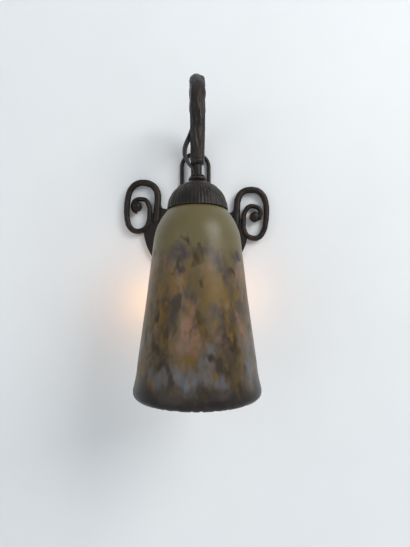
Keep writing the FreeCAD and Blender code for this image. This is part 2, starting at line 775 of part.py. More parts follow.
def wall_plate():
    """A cast shield with a flat top and a round bottom, hollow behind, that the scrolls sit in."""
    body = new_body("plate_blank")
    leg_edge = S["leg_x"] - S["scroll_bar"] / 2.0
    web_x = leg_edge - S["web_rise"]
    web_z = S["plate_top_z"] + S["web_rise"]
    outer_x = S["leg_x"] + 2.0 * S["crown_radius"]
    inner_x = outer_x - 2.0 * S["belly_radius"]
    step_z = S["belly_z"] + S["web_rise"]
    waist_z = S["belly_z"] - S["web_rise"]
    centre = (NOTHING, S["plate_centre_z"])
    meet_x = outer_x - S["belly_radius"] - S["belly_radius"] * 0.6
    meet_z = up_arc((NOTHING, S["plate_centre_z"]), S["plate_radius"], meet_x)
    meet_z = S["plate_centre_z"] * 2.0 - meet_z
    blank = new_sketch(body, "plate_outline", "XZ_Plane")
    draw(blank, (web_x, S["plate_top_z"]), [
        Line(-web_x, S["plate_top_z"]),
        Turn(-leg_edge, web_z, (-web_x, web_z), True),
        Line(-S["leg_x"], web_z),
        Line(-S["leg_x"], S["curl_z"]),
        Line(-inner_x, step_z),
        Line(-inner_x, waist_z),
        Line(-meet_x, meet_z),
        Turn(meet_x, meet_z, centre),
        Line(inner_x, waist_z),
        Line(inner_x, step_z),
        Line(S["leg_x"], S["curl_z"]),
        Line(S["leg_x"], web_z),
        Line(leg_edge, web_z),
        Turn(web_x, S["plate_top_z"], (web_x, web_z), True),
    ])
    pad = body.newObject("PartDesign::Pad", "plate_pad")
    pad.Profile = blank
    bind(pad, Length=S["plate_depth"])
    hollow_low = 2.0 * S["plate_centre_z"] - up_arc((NOTHING, S["plate_centre_z"]),
                                                    S["plate_radius"] - S["hollow_rim"],
                                                    S["hollow_half_width"])
    hollow = new_sketch(body, "hollow_outline", "XZ_Plane")
    draw(hollow, (S["hollow_half_width"], S["hollow_top_z"]), [
        Line(-S["hollow_half_width"], S["hollow_top_z"]),
        Line(-S["hollow_half_width"], hollow_low),
        Turn(S["hollow_half_width"], hollow_low, centre),
        Line(S["hollow_half_width"], S["hollow_top_z"]),
    ])
    doc.recompute()
    front = -S["plate_depth"].value
    edges = [f"Edge{number}" for number, edge in enumerate(pad.Shape.Edges, start=1)
             if edge.Length > S["plate_radius"].value
             and all(abs(vertex.Y - front) < 1e-6 for vertex in edge.Vertexes)]
    bevel = body.newObject("PartDesign::Chamfer", "plate_edge")
    bevel.Base = (pad, edges)
    bind(bevel, Size=S["plate_bevel"])
    doc.recompute()
    before = body.Shape.Volume
    pocket = body.newObject("PartDesign::Pocket", "plate_hollow")
    pocket.Profile = hollow
    bind(pocket, Length=S["plate_depth"] - S["plate_wall"])
    pocket.Reversed = True
    doc.recompute()
    print("plate hollow takes", round(before - body.Shape.Volume), "cubic mm")
    boss_sketch = new_sketch(body, "boss_outline", "XZ_Plane")
    circle = boss_sketch.addGeometry(Part.Circle(Vector(), Z_AXIS, S["boss_radius"].value))
    boss_sketch.addConstraint(Sketcher.Constraint("Coincident", circle, 3, -1, 1))
    rule = boss_sketch.addConstraint(Sketcher.Constraint("Radius", circle, S["boss_radius"].value))
    boss_sketch.setExpression(f"Constraints[{rule}]", S["boss_radius"].words)
    boss = body.newObject("PartDesign::Pad", "plate_boss")
    boss.Profile = boss_sketch
    bind(boss, Length=S["plate_depth"])
    roll(body)
    tools = [scroll_left, scroll_right]
    for number, side in enumerate((-1, 1)):
        tools.append(cylinder(f"loop_hole_{number}", S["loop_rod"] / 2.0, 30.0,
                              side * S["loop_half_width"], -S["plate_depth"] / 2.0,
                              S["plate_top_z"] - S["loop_seat"]))
    for number, height in enumerate((S["screw_low_z"], S["screw_high_z"])):
        tools.append(cylinder(f"plate_screw_way_{number}", S["screw_radius"] + S["thread_room"],
                              2.0 * S["plate_depth"], 0.0, 0.0, height, X_AXIS, 90.0))
    tools.append(cylinder("plate_cord_way", S["cord_radius"] + S["cord_room"] + S["grommet_wall"],
                          2.0 * S["plate_depth"], S["grommet_x"], 0.0, S["grommet_z"], X_AXIS, 90.0))
    return keep("wall_plate", cut("wall_plate", body, fuse("plate_tools", tools)))


wall_plate()


def cord_grommet():
    """A bush with a lip each side of the plate's wall, that the flex leaves through."""
    bore = S["cord_radius"] + S["cord_room"] / 2.0
    sleeve = S["cord_radius"] + S["cord_room"] + S["grommet_wall"]
    lip = sleeve + S["grommet_lip"]
    inside = S["plate_depth"] - S["plate_wall"] - S["seat_gap"]
    outside = S["plate_depth"] + S["seat_gap"]
    bush = turned("grommet_bush", (bore, inside - S["grommet_lip"]), [
        Line(lip, inside - S["grommet_lip"]),
        Line(lip, inside),
        Line(sleeve, inside),
        Line(sleeve, outside),
        Line(lip, outside),
        Line(lip - S["grommet_lip"] / 2.0, outside + S["grommet_lip"]),
        Line(bore, outside + S["grommet_lip"]),
        Line(bore, inside - S["grommet_lip"]),
    ])
    put(bush, S["grommet_x"], 0.0, S["grommet_z"], X_AXIS, 90.0)
    return keep("cord_grommet", bush)


cord_grommet()


# ---- tube, collar and cap -------------------------------------------------------------------------


def threaded_tube():
    """The threaded tube from the nose down to the lampholder, slotted where the flex goes in."""
    tube = tube_piece("tube_blank", S["tube_bore"], S["tube_radius"], S["holder_dome"],
                      S["nose_z"] + S["tube_in_nose"])
    return keep("threaded_tube", cut("threaded_tube", hang(tube), cord_way))


threaded_tube()


def collar_ring():
    """A turned collar with a round bead and a small upper step."""
    inner = S["tube_radius"] + S["thread_room"]
    bead = (S["collar_top_z"] - S["cap_seat_z"]) * 0.36
    low = S["cap_seat_z"] + S["seat_gap"]
    waist = S["collar_radius"] - bead
    shoulder = low + 2.0 * bead
    step = waist - 1.0
    collar = turned("collar_ring", (inner, low), [
        Line(waist, low),
        *rounded((waist, low + bead), bead, -90.0, 90.0, 4),
        Line(step, shoulder),
        Line(step, S["collar_top_z"]),
        Line(inner, S["collar_top_z"]),
        Line(inner, low),
    ])
    return keep("collar_ring", hang(collar))


collar_ring()


def flute_belt(name):
    """The fluted lower side of the cap: a ruled loft through pleated rings that fade as they rise."""
    count = int(S["flute_count"].value)
    end = S["flute_end"].value
    rings = []
    for level in range(FLUTE_LEVELS + 1):
        angle = math.radians(end * level / FLUTE_LEVELS)
        depth = S["flute_depth"].value * (1 - (level / FLUTE_LEVELS) ** 3)
        crest = S["cap_bulge_in"].value + S["cap_bulge"].value * math.cos(angle)
        height = S["cap_rim_z"].value + S["cap_bulge"].value * math.sin(angle)
        corners = []
        for number in range(2 * count + 1):
            radius = crest - depth * (number % 2)
            turn = math.pi * number / count
            corners.append(Vector(radius * math.cos(turn), radius * math.sin(turn), height))
        rings.append(Part.makePolygon(corners))
    item = doc.addObject("Part::Feature", name)
    item.Shape = Part.makeLoft(rings, True, True)
    item.Placement = Placement()
    return item


def shade_cap():
    """A fluted dome, open below, that hides the lampholder and the neck of the glass."""
    centre = (S["cap_bulge_in"], S["cap_rim_z"])
    inner_bulge = S["cap_bulge"] - S["cap_wall"]
    ceiling = S["cap_seat_z"] - S["cap_wall"]
    belt_radius = centre[0] + S["cap_bulge"] * cosine(S["flute_end"])
    belt_z = centre[1] + S["cap_bulge"] * sine(S["flute_end"])
    dome = turned("cap_dome", (NOTHING, belt_z), [
        Line(belt_radius, belt_z),
        *rounded(centre, S["cap_bulge"], S["flute_end"], S["dome_end"], 3),
        Line(S["cap_seat_radius"], S["cap_seat_z"]),
        Line(NOTHING, S["cap_seat_z"]),
        Line(NOTHING, belt_z),
    ])
    well = centre[0] + inner_bulge * cosine(S["dome_end"])
    below = S["cap_rim_z"] - S["cap_wall"]
    inside = ring_loft("cap_inside", [
        (centre[0] + inner_bulge, below),
        *arc_rings(centre, inner_bulge, NOTHING, S["dome_end"], 5),
        (well, ceiling),
    ], S["cap_facets"])
    bore = cylinder("cap_bore", S["tube_radius"] + S["cord_room"], S["cap_seat_z"],
                    z=ceiling - S["cap_wall"])
    cap = cut("shade_cap", fuse("cap_outside", [flute_belt("cap_belt"), dome]),
              fuse("cap_space", [inside, bore]))
    return keep("shade_cap", hang(cap))


shade_cap()


# ---- glass ----------------------------------------------------------------------------------------

SHOULDER_CENTRE = arc_centre((S["neck_outer"], S["neck_z"]), (S["shoulder_radius"], S["shoulder_z"]),
                             S["shoulder_arc"])
INNER_SHOULDER = S["shoulder_arc"] - S["glass_wall"]


def glass_shade():
    """A tall bell of blown glass with a ground hole at the top and a fire-polished lip."""
    inner_rim = S["rim_radius"] - S["glass_wall"]
    lip_round = S["glass_wall"] - S["lip_land"]
    outside = ring_loft("glass_outside", [
        *side_rings(SHOULDER_CENTRE, S["shoulder_arc"], S["neck_z"], S["shoulder_z"], 6),
        (S["flare_radius"], S["flare_z"]),
        (S["rim_radius"], S["rim_z"]),
        *arc_rings((S["rim_radius"] - lip_round, S["lip_z"] + lip_round), lip_round, 0.0, -90.0, 3),
    ], S["glass_facets"])
    seat = (S["ring_outer"], up_arc(SHOULDER_CENTRE, INNER_SHOULDER, S["ring_outer"]))
    inside = ring_loft("glass_inside", [
        (S["neck_radius"], S["neck_z"] + S["glass_wall"]),
        (S["neck_radius"], S["neck_z"] - S["neck_edge"]),
        *side_rings(SHOULDER_CENTRE, INNER_SHOULDER, seat[1], S["shoulder_z"], 4),
        (S["flare_radius"] - S["glass_wall"], S["flare_z"]),
        (inner_rim, S["rim_z"]),
        (inner_rim, S["lip_z"] - S["glass_wall"]),
    ], S["glass_facets"])
    return keep("glass_shade", hang(cut("glass_shade", outside, inside)))


glass_shade()


def seat_washer():
    """The felt washer between the glass and the lampholder's flange."""
    low = S["neck_z"] + S["seat_gap"]
    return keep("seat_washer", hang(tube_piece("seat_washer", S["neck_radius"], S["flange_radius"],
                                               low, low + S["felt"])))


seat_washer()


# ---- lampholder -----------------------------------------------------------------------------------

FLANGE_Z = S["neck_z"] + S["felt"] + 2.0 * S["seat_gap"]
CORE_TOP = FLANGE_Z - S["seat_gap"]
CORE_RADIUS = S["skirt_radius"] - S["skirt_wall"] - S["core_room"]
ROOF_Z = CORE_TOP - S["core_roof"]


def holder_cap():
    """The lampholder's cap: a neck screwed on the tube, a small dome and the flange over the felt."""
    neck_top = S["cap_seat_z"] - S["cap_wall"] - S["seat_gap"]
    inner = S["tube_radius"] + S["thread_room"]
    wall = S["flange_thickness"]
    body = turned("holder_cap", (inner, neck_top), [
        Line(inner, S["holder_dome"] - wall),
        Line(S["holder_neck"], S["holder_dome"] - wall),
        Line(CORE_RADIUS, FLANGE_Z + 2.0 * wall),
        Line(CORE_RADIUS, FLANGE_Z),
        Line(S["flange_radius"], FLANGE_Z),
        Line(S["flange_radius"], FLANGE_Z + wall),
        Line(CORE_RADIUS + wall, FLANGE_Z + wall),
        Line(CORE_RADIUS + wall, FLANGE_Z + 2.0 * wall),
        Line(S["holder_neck"] + wall, S["holder_dome"]),
        Line(S["holder_neck"], S["holder_dome"] + wall),
        Line(S["holder_neck"], neck_top),
        Line(inner, neck_top),
    ])
    return keep("holder_cap", hang(body))


def holder_skirt():
    """The skirt that passes down through the glass and carries the ring."""
    inner = S["skirt_radius"] - S["skirt_wall"]
    crest = S["skirt_radius"]
    root_radius = crest - S["thread_ridge"]
    top = FLANGE_Z - S["seat_gap"]
    body = turned("holder_skirt", (inner, top), [
        Line(inner, S["skirt_z"]),
        Line(root_radius, S["skirt_z"]),
        Line(crest, S["skirt_z"] + S["thread_ridge"]),
        Line(crest, top),
        Line(inner, top),
    ])
    return keep("holder_skirt", hang(body))


def holder_core():
    """The porcelain core, with a well for the screw shell and a hole for the contact's rivet."""
    well = S["shell_radius"] + S["core_room"]
    rivet = 1.6
    floor_z = S["skirt_z"] + 1.5
    body = turned("holder_core", (rivet, CORE_TOP), [
        Line(rivet, ROOF_Z),
        Line(well, ROOF_Z),
        Line(well, floor_z),
        Line(CORE_RADIUS, floor_z),
        Line(CORE_RADIUS, CORE_TOP),
        Line(rivet, CORE_TOP),
    ])
    return keep("holder_core", hang(body))


def screw_shell():
    """The brass shell that the bulb screws into, rolled to its thread."""
    outer = S["shell_radius"]
    top = ROOF_Z - S["seat_gap"]
    low = S["skirt_z"] + 2.5
    inner = outer - S["shell_wall"]
    body = turned("screw_shell", (inner, low), [
        Line(outer + S["core_room"], low),
        Line(outer + S["core_room"], low + 1.0),
        Line(outer, low + 1.5),
        Line(outer, top),
        Line(inner - 3.0, top),
        Line(inner - 3.0, top - S["shell_wall"]),
        Line(inner, top - S["shell_wall"]),
        Line(inner, low),
    ])
    return keep("screw_shell", hang(body))


def centre_contact():
    """The contact at the top of the well, with its rivet through the porcelain."""
    rivet = 1.55
    disc = 5.0
    low = ROOF_Z - 1.6
    return keep("centre_contact", hang(turned("centre_contact", (NOTHING, low), [
        Line(disc * 0.5, low),
        Line(disc, low + 0.8),
        Line(disc, ROOF_Z - S["seat_gap"]),
        Line(rivet, ROOF_Z - S["seat_gap"]),
        Line(rivet, CORE_TOP + S["rivet_rise"]),
        Line(NOTHING, CORE_TOP + S["rivet_rise"]),
        Line(NOTHING, low),
    ])))


def shade_ring():
    """The ring that screws up the skirt and holds the glass from inside."""
    inner = S["skirt_radius"] + S["thread_room"]
    top = up_arc(SHOULDER_CENTRE, INNER_SHOULDER, S["ring_outer"]) - S["seat_gap"]
    low = top - S["ring_height"]
    grip = S["ring_outer"] - 2.2
    return keep("shade_ring", hang(turned("shade_ring", (inner, low), [
        Line(grip - 0.8, low),
        Line(grip, low + 0.8),
        Line(grip, top - 2.4),
        Line(S["ring_outer"], top - 1.6),
        Line(S["ring_outer"], top),
        Line(inner, top),
        Line(inner, low),
    ])))


def lamp_leads():
    """The two cores of the flex, from the tube down to the lampholder."""
    lead = S["tube_bore"] / 2.0 - 0.35
    low = CORE_TOP + S["rivet_rise"] + S["seat_gap"]
    high = S["cap_seat_z"] + S["lead_reach"]
    leads = [prism(f"lead_{number}", lead, S["lead_sides"], high - low, side * S["tube_bore"] / 2.0,
                   -S["reach"], low)
             for number, side in enumerate((-1, 1))]
    return keep("lamp_leads", group("lamp_leads", leads))


holder_cap()
holder_skirt()
holder_core()
screw_shell()
centre_contact()
shade_ring()
lamp_leads()


# ---- bulb -----------------------------------------------------------------------------------------

TIP_Z = ROOF_Z - 1.6 - S["contact_gap"]
TIP_HEIGHT = 4.0
BASE_TOP = TIP_Z - TIP_HEIGHT
BASE_LOW = BASE_TOP - S["base_length"]


def bulb_base():
    """The bulb's metal base, a plain cup that its thread is rolled into."""
    crest = S["base_radius"]
    inner = crest - S["base_wall"]
    hole = S["base_hole"]
    return keep("bulb_base", hang(turned("bulb_base", (hole, BASE_TOP - 1.0), [
        Line(inner, BASE_TOP - 1.0),
        Line(inner, BASE_LOW),
        Line(crest, BASE_LOW),
        Line(crest, BASE_TOP - 1.5),
        Line(crest - 1.5, BASE_TOP),
        Line(hole, BASE_TOP),
        Line(hole, BASE_TOP - 1.0),
    ])))


def bulb_tip():
    """The black insulator on the base and the contact in it."""
    low = BASE_TOP + S["seat_gap"]
    high = TIP_Z - 1.2
    insulator = turned("bulb_insulator", (NOTHING, low), [
        Line(9.0, low),
        Line(4.6, high),
        Line(NOTHING, high),
        Line(NOTHING, low),
    ])
    contact = turned("bulb_contact", (NOTHING, high + S["seat_gap"]), [
        Line(4.4, high + S["seat_gap"]),
        Line(3.0, TIP_Z),
        Line(NOTHING, TIP_Z),
        Line(NOTHING, high + S["seat_gap"]),
    ])
    keep("bulb_insulator", hang(insulator))
    keep("bulb_contact", hang(contact))


def bulb_envelope():
    """The pear of frosted glass, cemented in the base and hollow."""
    wall = S["bulb_wall"]
    neck = S["base_radius"] - S["base_wall"] - S["thread_room"]
    flare = BASE_LOW - 0.4
    globe = (NOTHING, BASE_LOW - S["bulb_length"] + S["bulb_radius"])
    top = BASE_TOP - 6.0
    outside = ring_loft("bulb_outside", [
        (neck, top),
        (neck, flare),
        *arc_rings(globe, S["bulb_radius"], GLOBE_HIGH, -GLOBE_LOW, 7),
    ], S["bulb_facets"])
    inside = ring_loft("bulb_inside", [
        (neck - wall, top + wall),
        (neck - wall, flare),
        *arc_rings(globe, S["bulb_radius"] - wall, GLOBE_HIGH, -GLOBE_LOW, 7),
    ], S["bulb_facets"])
    return keep("bulb_envelope", hang(cut("bulb_envelope", outside, inside)))


def filament_stem():
    """The glass stem, flared where it joins the neck."""
    top = BASE_TOP - 6.5
    flare = S["base_radius"] - S["base_wall"] - S["thread_room"] - S["bulb_wall"] - 0.2
    low = BASE_LOW - S["stem_length"]
    return keep("filament_stem", hang(turned("filament_stem", (NOTHING, top), [
        Line(NOTHING, low),
        Line(S["stem_radius"] * 0.5, low),
        Line(S["stem_radius"], low + 3.0),
        Line(S["stem_radius"], top - 8.0),
        Line(flare, top - 1.0),
        Line(flare, top),
        Line(NOTHING, top),
    ])))


def filament():
    """The coiled wire, a ring round the foot of the stem, carried on a cross of two wires."""
    middle = BASE_LOW - S["stem_length"] - 1.5 * S["filament_wire"]
    wire = S["filament_wire"]
    low = middle - wire
    turn = S["filament_turn"]
    ring = cut("filament_ring", prism("filament_outer", turn + wire, S["bulb_facets"], 2.0 * wire, z=low),
               prism("filament_inner", turn - wire, S["bulb_facets"], 2.0 * wire, z=low))
    cross = [
        prism("filament_bar_x", wire, S["lead_sides"], 2.0 * turn, -turn, -S["reach"], middle, Y_AXIS, 90.0),
        prism("filament_bar_y", wire, S["lead_sides"], 2.0 * turn, 0.0, turn - S["reach"], middle, X_AXIS,
              90.0),
    ]
    return keep("filament", fuse("filament", [hang(ring), *cross]))


bulb_base()
bulb_tip()
bulb_envelope()
filament_stem()
filament()


# ---- writing --------------------------------------------------------------------------------------


def check_document():
    """Stops if any object failed or any piece isn't a sound solid."""
    doc.recompute()
    for item in doc.Objects:
        if "Invalid" in item.State or "Error" in item.State:
            raise RuntimeError(f"{item.Label} failed: {item.State}")
    for name, item in PIECES.items():
        shape = item.Shape
        if shape.isNull() or not shape.isValid() or not shape.Solids:
            raise RuntimeError(f"{name} is not a sound solid")


def on_planes(solid):
    """The same solid, with each flat face of a loft on a plain plane."""
    faces = []
    for face in solid.Faces:
        if face.Surface.TypeId != "Part::GeomBSplineSurface" or not face.findPlane(FLAT):
            faces.append(face)
            continue
        flat = Part.Face(face.OuterWire)
        if flat.normalAt(0, 0).dot(face.normalAt(0.5, 0.5)) < 0:
            flat.reverse()
        faces.append(flat)
    return Part.Solid(Part.Shell(faces))


def write_pieces():
    """Writes each piece to its own file."""
    os.makedirs("parts", exist_ok=True)
    for name, item in PIECES.items():
        solids = [on_planes(solid) for solid in item.Shape.Solids]
        volume = sum(solid.Volume for solid in solids)
        changed = abs(volume - item.Shape.Volume) > FLAT * item.Shape.Volume
        if changed or not all(solid.isValid() for solid in solids):
            raise RuntimeError(f"{name} changed when its flat faces were put on planes: {volume:.1f}, "
                               f"{item.Shape.Volume:.1f}")
        shape = solids[0] if len(solids) == 1 else Part.Compound(solids)
        shape.exportStep(f"parts/{name}.step")
        print(f"{name}: {len(solids)} solids, {volume:.1f} cubic mm")


check_document()
write_pieces()
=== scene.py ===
"""Looks of a wrought iron wall sconce: scrolled plate, crook arm, fluted cap and bell of mottled glass.

Everything is in metres in the row frame: X right seen from the room, +Y into the wall, Z up. The lamp
hangs on the line X = 0, Y = -REACH.
"""

import logging
import math
from dataclasses import dataclass, field
from enum import Enum
from typing import Callable, Sequence

import bmesh
import bpy
from mathutils import Matrix, Vector, noise


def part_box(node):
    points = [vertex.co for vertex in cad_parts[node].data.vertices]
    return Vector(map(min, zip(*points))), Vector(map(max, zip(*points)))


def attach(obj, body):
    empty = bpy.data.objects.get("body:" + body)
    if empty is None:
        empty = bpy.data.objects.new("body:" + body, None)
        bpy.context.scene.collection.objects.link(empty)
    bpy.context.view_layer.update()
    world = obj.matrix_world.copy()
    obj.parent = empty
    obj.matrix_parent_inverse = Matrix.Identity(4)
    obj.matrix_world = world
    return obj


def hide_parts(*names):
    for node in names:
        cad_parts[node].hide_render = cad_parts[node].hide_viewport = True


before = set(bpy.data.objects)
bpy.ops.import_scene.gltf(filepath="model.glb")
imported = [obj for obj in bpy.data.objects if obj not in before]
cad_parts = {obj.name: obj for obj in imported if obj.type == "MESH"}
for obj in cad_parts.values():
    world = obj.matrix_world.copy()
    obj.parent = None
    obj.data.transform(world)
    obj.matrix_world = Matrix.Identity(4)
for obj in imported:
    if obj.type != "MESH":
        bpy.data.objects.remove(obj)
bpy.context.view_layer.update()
log = logging.getLogger("sconce")

MM = 0.001
REACH = 155 * MM
AXIS = Vector((0.0, -REACH, 0.0))
X_WAY = Vector((1.0, 0.0, 0.0))
Y_WAY = Vector((0.0, 1.0, 0.0))
Z_WAY = Vector((0.0, 0.0, 1.0))
PLATE_ROLL = math.radians(3.1)
SAME_PLACE = 1e-6
SOFTEN = 0.5
SOFTEN_TIMES = 6
WARP = (0.02, 0.02, 0.02)
SCALE_OF_GRAIN = 900.0
SHARPEST = 0.62
BODY = "sconce"
BULB_BODY = "bulb"

Colour = tuple[float, float, float]
Ring = tuple[float, float]
Form = bmesh.types.BMesh
Material = bpy.types.Material
Item = bpy.types.Object
Socket = bpy.types.NodeSocket
Tree = bpy.types.NodeTree
Node = bpy.types.Node


# meshes


@dataclass
class Station:
    """One ring of a swept bar: its middle, its two half widths and the ways they point."""

    middle: Vector
    side: Vector
    out: Vector
    half_side: float
    half_out: float

    def matrix(self) -> Matrix:
        """Returns the matrix that puts a unit circle on this ring."""
        along = self.side.cross(self.out).normalized()
        turn = Matrix((self.side, self.out, along)).transposed().to_4x4()
        size = Matrix.Diagonal((self.half_side, self.half_out, 1.0, 1.0))
        return Matrix.Translation(self.middle) @ turn @ size


def sweep(form: Form, stations: Sequence[Station], segments: int) -> None:
    """Extrudes a ring through the stations and closes both ends.

    Args:
        form: The mesh that the bar is added to.
        stations: The rings, from one end to the other.
        segments: Points round each ring.
    """
    ring = bmesh.ops.create_circle(form, cap_ends=True, segments=segments, radius=1.0)["verts"]
    bmesh.ops.transform(form, matrix=stations[0].matrix(), verts=ring)
    edges = list({edge for vert in ring for edge in vert.link_edges})
    for before, after in zip(stations, stations[1:]):
        made = bmesh.ops.extrude_edge_only(form, edges=edges)["geom"]
        verts = {part for part in made if isinstance(part, bmesh.types.BMVert)}
        edges = [part for part in made
                 if isinstance(part, bmesh.types.BMEdge) and verts.issuperset(part.verts)]
        step = after.matrix() @ before.matrix().inverted()
        bmesh.ops.transform(form, matrix=step, verts=list(verts))
    bmesh.ops.contextual_create(form, geom=edges)


def spun(rings: Sequence[Ring], steps: int, closed: bool = True) -> Form:
    """Returns a profile of distance and height spun round the lamp's line.

    Args:
        rings: Distance from the line and height of each point of the profile.
        steps: Points round the piece.
        closed: Whether the profile ends where it starts.
    """
    form = bmesh.new()
    verts = [form.verts.new(AXIS + Vector((radius, 0.0, height))) for radius, height in rings]
    edges = [form.edges.new(pair) for pair in zip(verts, verts[1:])]
    if closed:
        edges.append(form.edges.new((verts[-1], verts[0])))
    bmesh.ops.spin(form, geom=verts + edges, cent=AXIS, axis=Z_WAY, angle=2 * math.pi, steps=steps,
                   use_merge=True, use_duplicate=False)
    bmesh.ops.remove_doubles(form, verts=form.verts, dist=SAME_PLACE)
    return form


def arc(centre: Ring, radius: float, start: float, end: float, count: int) -> list[Ring]:
    """Returns points of a profile along an arc, its two angles in degrees included."""
    angles = [math.radians(start + (end - start) * number / count) for number in range(count + 1)]
    return [(centre[0] + radius * math.cos(angle), centre[1] + radius * math.sin(angle))
            for angle in angles]


def clamped(value: float) -> float:
    """Returns a value kept between 0 and 1."""
    return min(1.0, max(0.0, value))


def noise_round(angle: float, spread: float, level: float, shift: float = 0.0) -> float:
    """Returns soft noise that closes on itself round a piece, between -1 and 1.

    Args:
        angle: Angle round the piece, in radians.
        spread: How often it changes on the way round.
        level: Place along the piece.
        shift: Place in the noise, so that two layers differ.
    """
    return noise.noise(Vector((spread * math.cos(angle) + shift, spread * math.sin(angle), level)))


def from_axis(vert: bmesh.types.BMVert) -> tuple[Vector, Vector, float]:
    """Returns a point seen from the lamp's line: its offset, the level part of it and its angle."""
    offset = vert.co - AXIS
    return offset, Vector((offset.x, offset.y, 0.0)), math.atan2(offset.y, offset.x)


def roughen(form: Form, depth: float, grain: float, seed: float) -> None:
    """Pushes each point along its normal by soft noise.

    Args:
        form: The mesh.
        depth: Furthest push, in metres.
        grain: Size of the noise, in metres.
        seed: Place of the noise, so that pieces differ.
    """
    form.normal_update()
    shift = Vector((seed, -seed, 0.5 * seed))
    for vert in form.verts:
        vert.co += vert.normal * depth * noise.noise(vert.co / grain + shift)


def placed(name: str, data: object) -> Item:
    """Returns a new object in the scene that carries a mesh, curve, light or camera."""
    item = bpy.data.objects.new(name, data)
    bpy.context.scene.collection.objects.link(item)
    return item


def finish_mesh(form: Form, name: str) -> bpy.types.Mesh:
    """Closes a bmesh with its faces outwards and returns it as a mesh."""
    bmesh.ops.recalc_face_normals(form, faces=form.faces)
    for face in form.faces:
        face.smooth = True
    mesh = bpy.data.meshes.new(name)
    form.to_mesh(mesh)
    form.free()
    return mesh


def remeshed(mesh: bpy.types.Mesh, voxel: float) -> bpy.types.Mesh:
    """Returns the mesh as one skin, as forge welding leaves it."""
    carrier = placed(mesh.name + "_blank", mesh)
    skin = carrier.modifiers.new("skin", "REMESH")
    skin.mode = "VOXEL"
    skin.voxel_size = voxel
    soften = carrier.modifiers.new("soften", "SMOOTH")
    soften.factor = SOFTEN
    soften.iterations = SOFTEN_TIMES
    evaluated = carrier.evaluated_get(bpy.context.evaluated_depsgraph_get())
    result = bpy.data.meshes.new_from_object(evaluated)
    result.name = mesh.name + "_skin"
    bpy.data.objects.remove(carrier)
    return result


def piece(name: str, form: Form, material: Material, nodes: Sequence[str],
          body: str = BODY) -> Item:
    """Adds a finished piece that stands for CAD nodes.

    Args:
        name: Name of the piece.
        form: Its shape, in the row frame, which is used up.
        material: Its finish.
        nodes: CAD nodes that it stands for.
        body: The body that it rides on.

    Returns:
        The new object.
    """
    mesh = finish_mesh(form, name)
    mesh.materials.append(material)
    item = placed(name, mesh)
    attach(item, body)
    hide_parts(*nodes)
    log.info("%s: %d faces", name, len(mesh.polygons))
    return item


# finishes


class Paint:
    """A material under construction: adds nodes and links them."""

    def __init__(self, name: str) -> None:
        """Starts an empty material with a Principled shader."""
        self.material = bpy.data.materials.new(name)
        self.material.use_nodes = True
        self.tree = self.material.node_tree
        self.shader = self.tree.nodes["Principled BSDF"]
        self.place = self.tree.nodes.new("ShaderNodeTexCoord").outputs["Object"]

    def set(self, **values: object) -> None:
        """Sets constants on the shader's own sockets; underscores stand for spaces."""
        for socket, value in values.items():
            self.shader.inputs[socket.replace("_", " ")].default_value = value

    def node(self, kind: str, links: dict | None = None, **values: object) -> Node:
        """Adds a node, sets its properties and links or fills its inputs."""
        return add_node(self.tree, kind, links, **values)

    def group(self, tree: Tree, **values: object) -> Node:
        """Places a shared effect, with its own values, on Object coordinates."""
        item = self.tree.nodes.new("ShaderNodeGroup")
        item.node_tree = tree
        self.tree.links.new(self.place, item.inputs["Place"])
        for socket, value in values.items():
            item.inputs[socket].default_value = value
        return item

    def link(self, output: Socket, socket: str) -> None:
        """Feeds the shader."""
        self.tree.links.new(output, self.shader.inputs[socket])

    def mix(self, factor: object, first: object, second: object) -> Socket:
        """Mixes two colours, each a socket or a plain colour, and returns the result."""
        return mix_colour(self.tree, factor, first, second)

    def maths(self, operation: str, *values: object) -> Socket:
        """Works out one number from sockets or plain values and returns it."""
        return self.node("Math", dict(enumerate(values)), operation=operation).outputs[0]

    def roughness(self, field_of: Socket, low: float, high: float) -> None:
        """Feeds the shader a roughness that follows a soft field between two values."""
        item = self.node("MapRange", {"Value": field_of, "From Min": 0.3, "From Max": 0.7,
                                      "To Min": low, "To Max": high})
        self.link(item.outputs[0], "Roughness")

    def bump(self, height: Socket, distance: float, strength: float = 1.0) -> None:
        """Feeds a height to the shader's normal."""
        item = self.node("Bump", {"Height": height, "Distance": distance, "Strength": strength})
        self.link(item.outputs["Normal"], "Normal")


def add_node(tree: Tree, kind: str, links: dict | None = None, **values: object) -> Node:
    """Adds a node to a tree.

    Args:
        tree: The material's or group's tree.
        kind: Type name of the node, after ShaderNode.
        links: Input name to a socket or to a plain value.
        **values: Properties of the node.

    Returns:
        The node.
    """
    item = tree.nodes.new("ShaderNode" + kind)
    for prop, value in values.items():
        setattr(item, prop, value)
    for socket, value in (links or {}).items():
        if isinstance(value, Socket):
            tree.links.new(value, item.inputs[socket])
        else:
            item.inputs[socket].default_value = value
    return item


def mix_colour(tree: Tree, factor: object, first: object, second: object) -> Socket:
    """Mixes two colours in a tree and returns the result's socket."""
    item = tree.nodes.new("ShaderNodeMix")
    item.data_type = "RGBA"
    for number, value in ((0, factor), (6, first), (7, second)):
        if isinstance(value, Socket):
            tree.links.new(value, item.inputs[number])
        elif number:
            item.inputs[number].default_value = (*value, 1.0)
        else:
            item.inputs[number].default_value = value
    return item.outputs[2]


